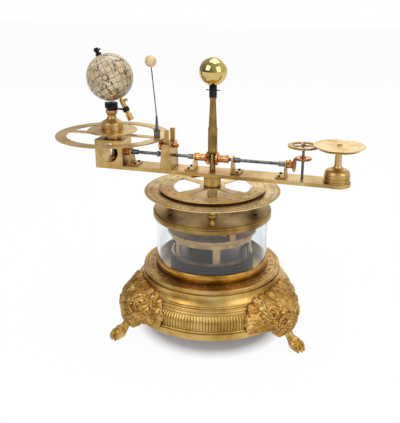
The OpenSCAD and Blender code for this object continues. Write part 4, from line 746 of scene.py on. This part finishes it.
def scrollHeight(u, v, start, heading, bend, length, thick, lift):
    # half-round scroll that thins toward its coil and ends in a button, grooved along its back
    path = strokePath(start, heading, bend, length, scrollForm["power"], scrollForm["steps"])
    along, side, gap = alongStroke(u, v, path, length)
    share = gap / (thick * (1 - scrollForm["thinning"] * np.clip(along, 0, 1)))
    groove = scrollForm["groove"] * np.exp(-((side / scrollForm["grooveWidth"]) ** 2))
    rod = lift + thick * np.sqrt(np.clip(1 - share**2, 0, 1)) - groove
    knob = np.hypot(u - path[0][-1], v - path[1][-1]) / (thick * scrollForm["buttonSize"])
    button = lift + scrollForm["button"] + thick * np.sqrt(np.clip(1 - knob**2, 0, 1))
    return np.maximum(np.where(share < 1, rod, 0), np.where(knob < 1, button, 0))


def shellHeight(u, v, centre, radius):
    # scalloped lobe: a shallow dome, ribbed like a shell toward the mount's middle
    gap = np.hypot(u - centre[0], v - centre[1]) / radius
    fan = np.arctan2(v - 0.72 * centre[1] - 5.6, u - 0.72 * centre[0])
    dome = shellForm["dome"] * np.sqrt(np.clip(1 - (gap / shellForm["spread"]) ** 2, 0, 1))
    height = shellForm["rim"] + dome + shellForm["rib"] * np.cos(fan * shellForm["ribs"])
    return np.where(gap < shellForm["spread"], height, 0)


leaves = [  # root, heading, bend, length, half width, lobes, lift
    ((2, 22), 8, 26, 22, 5.6, 4, 0.5), ((11, 23), 20, 34, 19, 5.4, 4, 0.5),
    ((22, 22), 30, 34, 19, 5.4, 4, 0.5), ((32, 20), 40, 34, 20, 5.4, 4, 0.5),
    ((40, 18), 66, 26, 24, 5.6, 4, 0.6), ((39, 17), 106, -16, 24, 5.2, 4, 0.5),
    ((31, 18), 128, 10, 18, 5.0, 4, 0.5), ((23, 17), 138, 14, 16, 4.8, 4, 0.5),
    ((11, 10), 150, 14, 16, 4.8, 3, 0.5), ((8, 27), 46, 30, 14, 3.4, 3, 1.1),
    ((19, 29), 58, 30, 13, 3.2, 3, 1.1), ((31, 27), 64, 34, 13, 3.2, 3, 1.1),
    ((42, 24), 76, 34, 13, 3.0, 3, 1.1), ((27, 19), 104, 26, 13, 3.0, 3, 1.0),
    ((17, 17), 112, 24, 12, 3.2, 3, 1.0), ((40, 17), 98, 30, 13, 2.8, 3, 1.0),
    ((5, 14), 128, 30, 12, 3.2, 3, 0.9), ((4, 4), 160, 14, 11, 3.2, 3, 0.8),
    ((0, 19), 180, 0.1, 24, 6.0, 5, 1.0),
]
palmette = [((0, 24), 13 * k, 0.1, 20 - 0.5 * k**1.5, 2.5, 1, 1.2) for k in range(6)]
scrolls = [  # root, heading, bend, length, half thickness, lift
    ((3, 21), 78, 500, 52, 1.9, 0.9), ((16, 29), 62, 500, 40, 1.6, 0.9),
    ((30, 24), 72, -470, 36, 1.5, 0.9), ((5, 34), 44, 470, 26, 1.3, 1.1),
    ((9, 12), 110, -420, 30, 1.4, 0.8), ((44, 24), 60, 480, 26, 1.2, 0.9),
]


def reliefHeight(u, v):
    # chased relief in mm, alike on both sides: the highest of all the leaves, scrolls and shells
    # over a ground with faint rays
    u = np.abs(u)
    height = 0.25 + 0.2 * np.cos(46 * np.arctan2(v - 8, u + 1e-6))
    for shape in scallops:
        height = np.maximum(height, shellHeight(u, v, shape[:2], shape[2]))
    for shape in leaves + palmette:
        height = np.maximum(height, leafHeight(u, v, *shape))
    for shape in scrolls:
        height = np.maximum(height, scrollHeight(u, v, *shape))
    return height


def mountSheet():
    # closed sheet: rays from the hub to the outline over the relief, then back along the plinth's side
    outline = mountOutline(foot["columns"])
    share = np.linspace(0, 1, foot["rows"])[:, None, None]
    hub = np.array(foot["hub"])
    u, v = np.moveaxis(hub + share * (outline - hub), -1, 0)
    height = foot["lift"] * reliefHeight(u.ravel(), v.ravel()).reshape(u.shape)
    around = height.copy()
    for _ in range(foot["smoothing"]):  # relief smoothed over about 2 mm, to tell grooves from crests
        around = (np.roll(around, 1, 1) + 2 * around + np.roll(around, -1, 1)) / 4
        around[1:-1] = (around[:-2] + 2 * around[1:-1] + around[2:]) / 4
    step = 0.05  # mm to each side, for the skin's slope
    alongU = mountSkin(u + step, v) - mountSkin(u - step, v)
    alongV = mountSkin(u, v + step) - mountSkin(u, v - step)
    outward = np.cross(alongU, alongV)
    outward = outward / np.linalg.norm(outward, axis=-1, keepdims=True)
    points = mountSkin(u, v) + outward * height[..., None]
    share = np.linspace(1, 0, foot["backRows"])[:, None, None]
    u, v = np.moveaxis(hub + share * (outline - hub), -1, 0)
    wall = np.interp(mountHeight(u, v), backZ, backR)
    angle = u / foot["curve"]
    back = np.stack([wall * np.cos(angle), wall * np.sin(angle), mountHeight(u, v)], -1)
    # height under the smoothed relief, which the material turns into painted shade in the grooves
    relief = np.concatenate([(height - around).ravel(), np.zeros(u.size)])
    return surface(np.concatenate([points, back]), wrapV=True), relief


paw = {  # in the foot's upright plane: x outward from the clock's axis, y across, z up, in mm
    "at": 135.5,
    "ankle": [(115, 30, 9), (119, 26.5, 7.6), (123, 21.5, 5.8), (126.5, 16.6, 5.0), (130, 12.4, 6.2),
              (135, 9.4, 7.8)],  # x, z and radius down the limb
    "ankleRings": 60, "anklePoints": 56, "ridges": 9, "ridgeDepth": 0.06, "broad": 1.05,
    "pad": ((0, 0, 7.6), (9.0, 9.6, 7.7), 8),  # centre, radii and lean
    "toes": ((-6.9, 4.2), (-2.4, 7.2), (2.4, 7.2), (6.9, 4.2)),  # each toe's y and how far it is ahead
    "toeParts": (  # toe, claw and tendon: x past the toe, share of its y, z, radii and lean
        (0.0, 1.0, 6.0, (5.6, 2.75, 4.9), 22), (4.0, 1.05, 2.4, (2.1, 1.6, 2.4), 0),
        (-5.5, 0.9, 11.4, (4.6, 1.9, 2.5), 38),
    ),
    "around": 36, "up": 24,
}


def oval(centre, radii, lean):
    # an ellipsoid, leaned about Y, pressed flat where it would pass through the table
    points, quads = ball(1.0, paw["around"], paw["up"])
    points, quads = placed((points * np.array(radii), quads), lean=lean, at=centre)
    points[:, 2] = np.maximum(points[:, 2], 0)
    return points, quads


def limb(stations):
    # circles of changing radius carried along a smooth line in the foot's upright plane
    stations = np.asarray(stations, float)
    at = np.linspace(0, len(stations) - 1, paw["ankleRings"])
    index = np.clip(at.astype(int), 0, len(stations) - 2)
    f = (at - index)[:, None]
    f = f * f * (3 - 2 * f) * 0.5 + f * 0.5
    x, z, r = (stations[index] * (1 - f) + stations[index + 1] * f).T
    way = np.arctan2(np.gradient(z), np.gradient(x))[:, None]
    t = np.linspace(0, 2 * np.pi, paw["anklePoints"], endpoint=False)[None, :]
    radius = r[:, None] * (1 + paw["ridgeDepth"] * np.cos(paw["ridges"] * t))
    points = np.stack([
        x[:, None] - np.sin(way) * np.cos(t) * radius,
        np.sin(t) * radius * paw["broad"],
        z[:, None] + np.cos(way) * np.cos(t) * radius,
    ], -1)
    ends = [points[k : k + 1].mean(1, keepdims=True).repeat(points.shape[1], 1) for k in (0, -1)]
    return surface(np.concatenate([ends[0], points, ends[1]]), wrapV=True)


def pawParts():
    # thin ankle, round paw, four toes with claws and the furrows of the tendons over them
    (x, y, z), radii, lean = paw["pad"]
    parts = [limb(paw["ankle"]), oval((paw["at"] + x, y, z), radii, lean)]
    for y, ahead in paw["toes"]:
        for past, share, z, radii, lean in paw["toeParts"]:
            parts.append(oval((paw["at"] + ahead + past, y * share, z), radii, lean))
    return parts


sheet, sheetRelief = mountSheet()
footShape = [sheet] + pawParts()
pawPoints = sum(len(points) for points, _ in footShape[1:])
footRelief = np.concatenate([sheetRelief, np.full(pawPoints, foot["flatRelief"])])
for name, angle in foot["angles"].items():
    makePiece(
        "pawFoot" + name, [placed(part, turn=angle) for part in footShape], footGilt, "base",
        ["foot_" + name.lower()], "gilt", sharp=70, fixNormals=True, relief=footRelief,
    )
print("feet made")

# Numbers cut into the dials, in mm; weight is how much bolder the strokes are for their size

hours = ["I", "II", "III", "IIII", "V", "VI", "VII", "VIII", "IX", "X", "XI", "XII"]
numberRings = {
    "outerDial": {"texts": [str(5 * (k % 6) + 5) for k in range(72)], "radius": 81.6, "size": 4.2,
                  "top": topOf("outer_dial_ring"), "body": "base", "centre": 0.0},
    "hourWheel": {"texts": hours * 2, "radius": 60.2, "size": 5.2,
                  "top": topOf("hour_wheel"), "body": "hour_wheel", "centre": 0.0},
    "chapterRing": {"texts": [str(10 * k + 10) for k in range(36)], "radius": 81.9, "size": 7.4,
                    "top": topOf("chapter_ring"), "body": "base", "centre": 0.0},
    "smallDial": {"texts": [str(k + 1) for k in range(12)], "radius": 24.6, "size": 3.4,
                  "top": topOf("dial_disc"), "body": "dial", "centre": dialX},
}
cutting = {"weight": 0.012, "proud": 0.05, "curveSteps": 3}


def textMesh(text, size):
    # outline of one number as a flat mesh, centred, in mm
    curve = bpy.data.curves.new("numberCurve", "FONT")
    curve.body = text
    curve.size = size
    curve.align_x = "CENTER"
    curve.align_y = "CENTER"
    curve.resolution_u = cutting["curveSteps"]
    curve.offset = cutting["weight"] * size
    holder = bpy.data.objects.new("numberHolder", curve)
    mesh = holder.to_mesh()
    points = np.empty(len(mesh.vertices) * 3)
    mesh.vertices.foreach_get("co", points)
    faces = [list(p.vertices) for p in mesh.polygons]
    holder.to_mesh_clear()
    bpy.data.objects.remove(holder)
    bpy.data.curves.remove(curve)
    return points.reshape(-1, 3), faces


def numberRing(name, look):
    # numbers stand round the ring with their feet toward the centre, just proud of the brass
    allPoints, allFaces, start = [], [], 0
    shapes = {text: textMesh(text, look["size"]) for text in set(look["texts"])}
    for k, text in enumerate(look["texts"]):
        points, faces = shapes[text]
        way = 2 * np.pi * (k + 0.5) / len(look["texts"]) + np.pi / 2
        x, y = points[:, 0], points[:, 1] - look["radius"]
        allPoints.append(np.stack([
            x * np.cos(way) - y * np.sin(way) + look["centre"],
            x * np.sin(way) + y * np.cos(way),
            np.full(len(points), look["top"] + cutting["proud"]),
        ], -1))
        allFaces += [[i + start for i in face] for face in faces]
        start += len(points)
    mesh = bpy.data.meshes.new(name)
    mesh.from_pydata((np.concatenate(allPoints) / 1000).tolist(), [], allFaces)
    mesh.materials.append(wax)
    piece = addObject(name, mesh)
    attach(piece, look["body"])


for name, look in numberRings.items():
    numberRing(name + "Numbers", look)
print("numbers cut")

# Floor, light and camera, in metres and watts

studio = {
    "floor": "#F4F4F4", "floorHalf": 6.0, "floorZ": -0.0004,
    "shadowFrom": 0.083, "shadowTo": 0.106, "glowNear": 0.13, "glowFar": 0.95,
    "world": 0.6, "skyWay": (0.48, 0.36, 0.2), "skyReach": 0.6,
    "skyStops": ((0.05, (0.16, 0.16, 0.18, 1)), (0.9, (0.8, 0.79, 0.77, 1))),
}
lamps = {  # place, what it points at, size and power
    "windowLeft": ((-0.75, -1.15, 1.15), (0, 0, 0.2), (0.9, 0.95), 9.0),
    "windowRight": ((1.35, -0.7, 0.9), (0, 0, 0.2), (0.95, 1.15), 7.5),
    "softboxTop": ((0.1, 0.25, 1.6), (0, 0, 0.15), (1.1, 1.1), 11.0),
    "softboxBack": ((-0.05, 1.5, 0.8), (0, 0, 0.2), (1.5, 0.9), 3.0),
}
viewpoint = {  # the photograph's; the heading is sideways and ahead, the lens and sensor in mm
    "at": (0.2117, -0.7457, 0.4508), "down": 20.477, "heading": (0.2748, 0.8956),
    "lens": 52.43, "sensor": 36.0,
}

half = studio["floorHalf"]
floorMesh = bpy.data.meshes.new("floor")
floorCorners = [(-half, -half, 0), (half, -half, 0), (half, half, 0), (-half, half, 0)]
floorMesh.from_pydata(floorCorners, [], [(0, 1, 2, 3)])
floorPiece = addObject("floor", floorMesh)
floorPiece.location.z = studio["floorZ"]

# Paper sweep: white to camera, gloss and glass, less so under the clock, where its shadow shows
floorMaterial, tree, shader = startMaterial("paperSweep")
setInputs(tree, shader, {
    "Base Color": toLinear(studio["floor"]), "Roughness": 0.9, "Specular IOR Level": 0.1,
})
ray = addNode(tree, "LightPath")
coords = addNode(tree, "TexCoord")
away = addNode(tree, "VectorMath", {0: coords.outputs["Object"]}, operation="LENGTH").outputs["Value"]
fade = addNode(tree, "MapRange", {
    "Value": away, "From Min": studio["shadowFrom"], "From Max": studio["shadowTo"],
    "To Min": studio["glowNear"], "To Max": studio["glowFar"],
})
seen = ray.outputs["Is Camera Ray"]
for kind in ("Is Glossy Ray", "Is Transmission Ray"):
    seen = addNode(tree, "Math", {0: seen, 1: ray.outputs[kind]}, operation="MAXIMUM")
amount = addNode(tree, "Math", {0: seen, 1: fade}, operation="MULTIPLY")
glow = addNode(tree, "Emission", {"Color": (1, 1, 1, 1), "Strength": 1.0})
mixed = addNode(tree, "MixShader", {0: amount, 1: shader, 2: glow})
output = [n for n in tree.nodes if n.bl_idname == "ShaderNodeOutputMaterial"][0]
setInputs(tree, output, {"Surface": mixed})
floorMesh.materials.append(floorMaterial)

# Room: white to camera and glass, even light on the clock, and in metal a room that is paler
# toward the right, the back and above
world = bpy.data.worlds.new("studio")
bpy.context.scene.world = world
world.use_nodes = True
tree = world.node_tree
tree.nodes.clear()
ray = addNode(tree, "LightPath")
seen = addNode(
    tree, "Math", {0: ray.outputs["Is Camera Ray"], 1: ray.outputs["Is Transmission Ray"]},
    operation="MAXIMUM",
)
coords = addNode(tree, "TexCoord")
toward = addNode(
    tree, "VectorMath", {0: coords.outputs["Generated"], 1: studio["skyWay"]}, operation="DOT_PRODUCT"
).outputs["Value"]
side = addNode(tree, "MapRange", {
    "Value": toward, "From Min": -studio["skyReach"], "From Max": studio["skyReach"],
})
sky = addNode(tree, "ValToRGB", {"Fac": side}, studio["skyStops"])
even = (studio["world"],) * 3 + (1.0,)
ambient = addNode(tree, "MixRGB", {"Fac": ray.outputs["Is Glossy Ray"], "Color1": even, "Color2": sky})
shown = addNode(tree, "MixRGB", {"Fac": seen, "Color1": ambient, "Color2": (1, 1, 1, 1)})
room = addNode(tree, "Background", {"Color": shown, "Strength": 1.0})
addNode(tree, "OutputWorld", {"Surface": room})

for name, (at, target, size, power) in lamps.items():
    data = bpy.data.lights.new(name, "AREA")
    data.shape = "RECTANGLE"
    data.size, data.size_y = size
    data.energy = power
    lamp = addObject(name, data)
    lamp.location = at
    way = np.array(target, float) - np.array(at, float)
    tilt = math.atan2(math.hypot(way[0], way[1]), -way[2])
    lamp.rotation_euler = (tilt, 0, math.atan2(way[1], way[0]) - math.pi / 2)

cameraData = bpy.data.cameras.new("camera")
cameraData.lens = viewpoint["lens"]
cameraData.sensor_width = viewpoint["sensor"]
camera = addObject("camera", cameraData)
camera.location = viewpoint["at"]
camera.rotation_euler = (math.radians(90 - viewpoint["down"]), 0, math.atan2(*viewpoint["heading"]))
bpy.context.scene.camera = camera
bpy.context.scene.view_settings.view_transform = "Standard"
print("studio set")
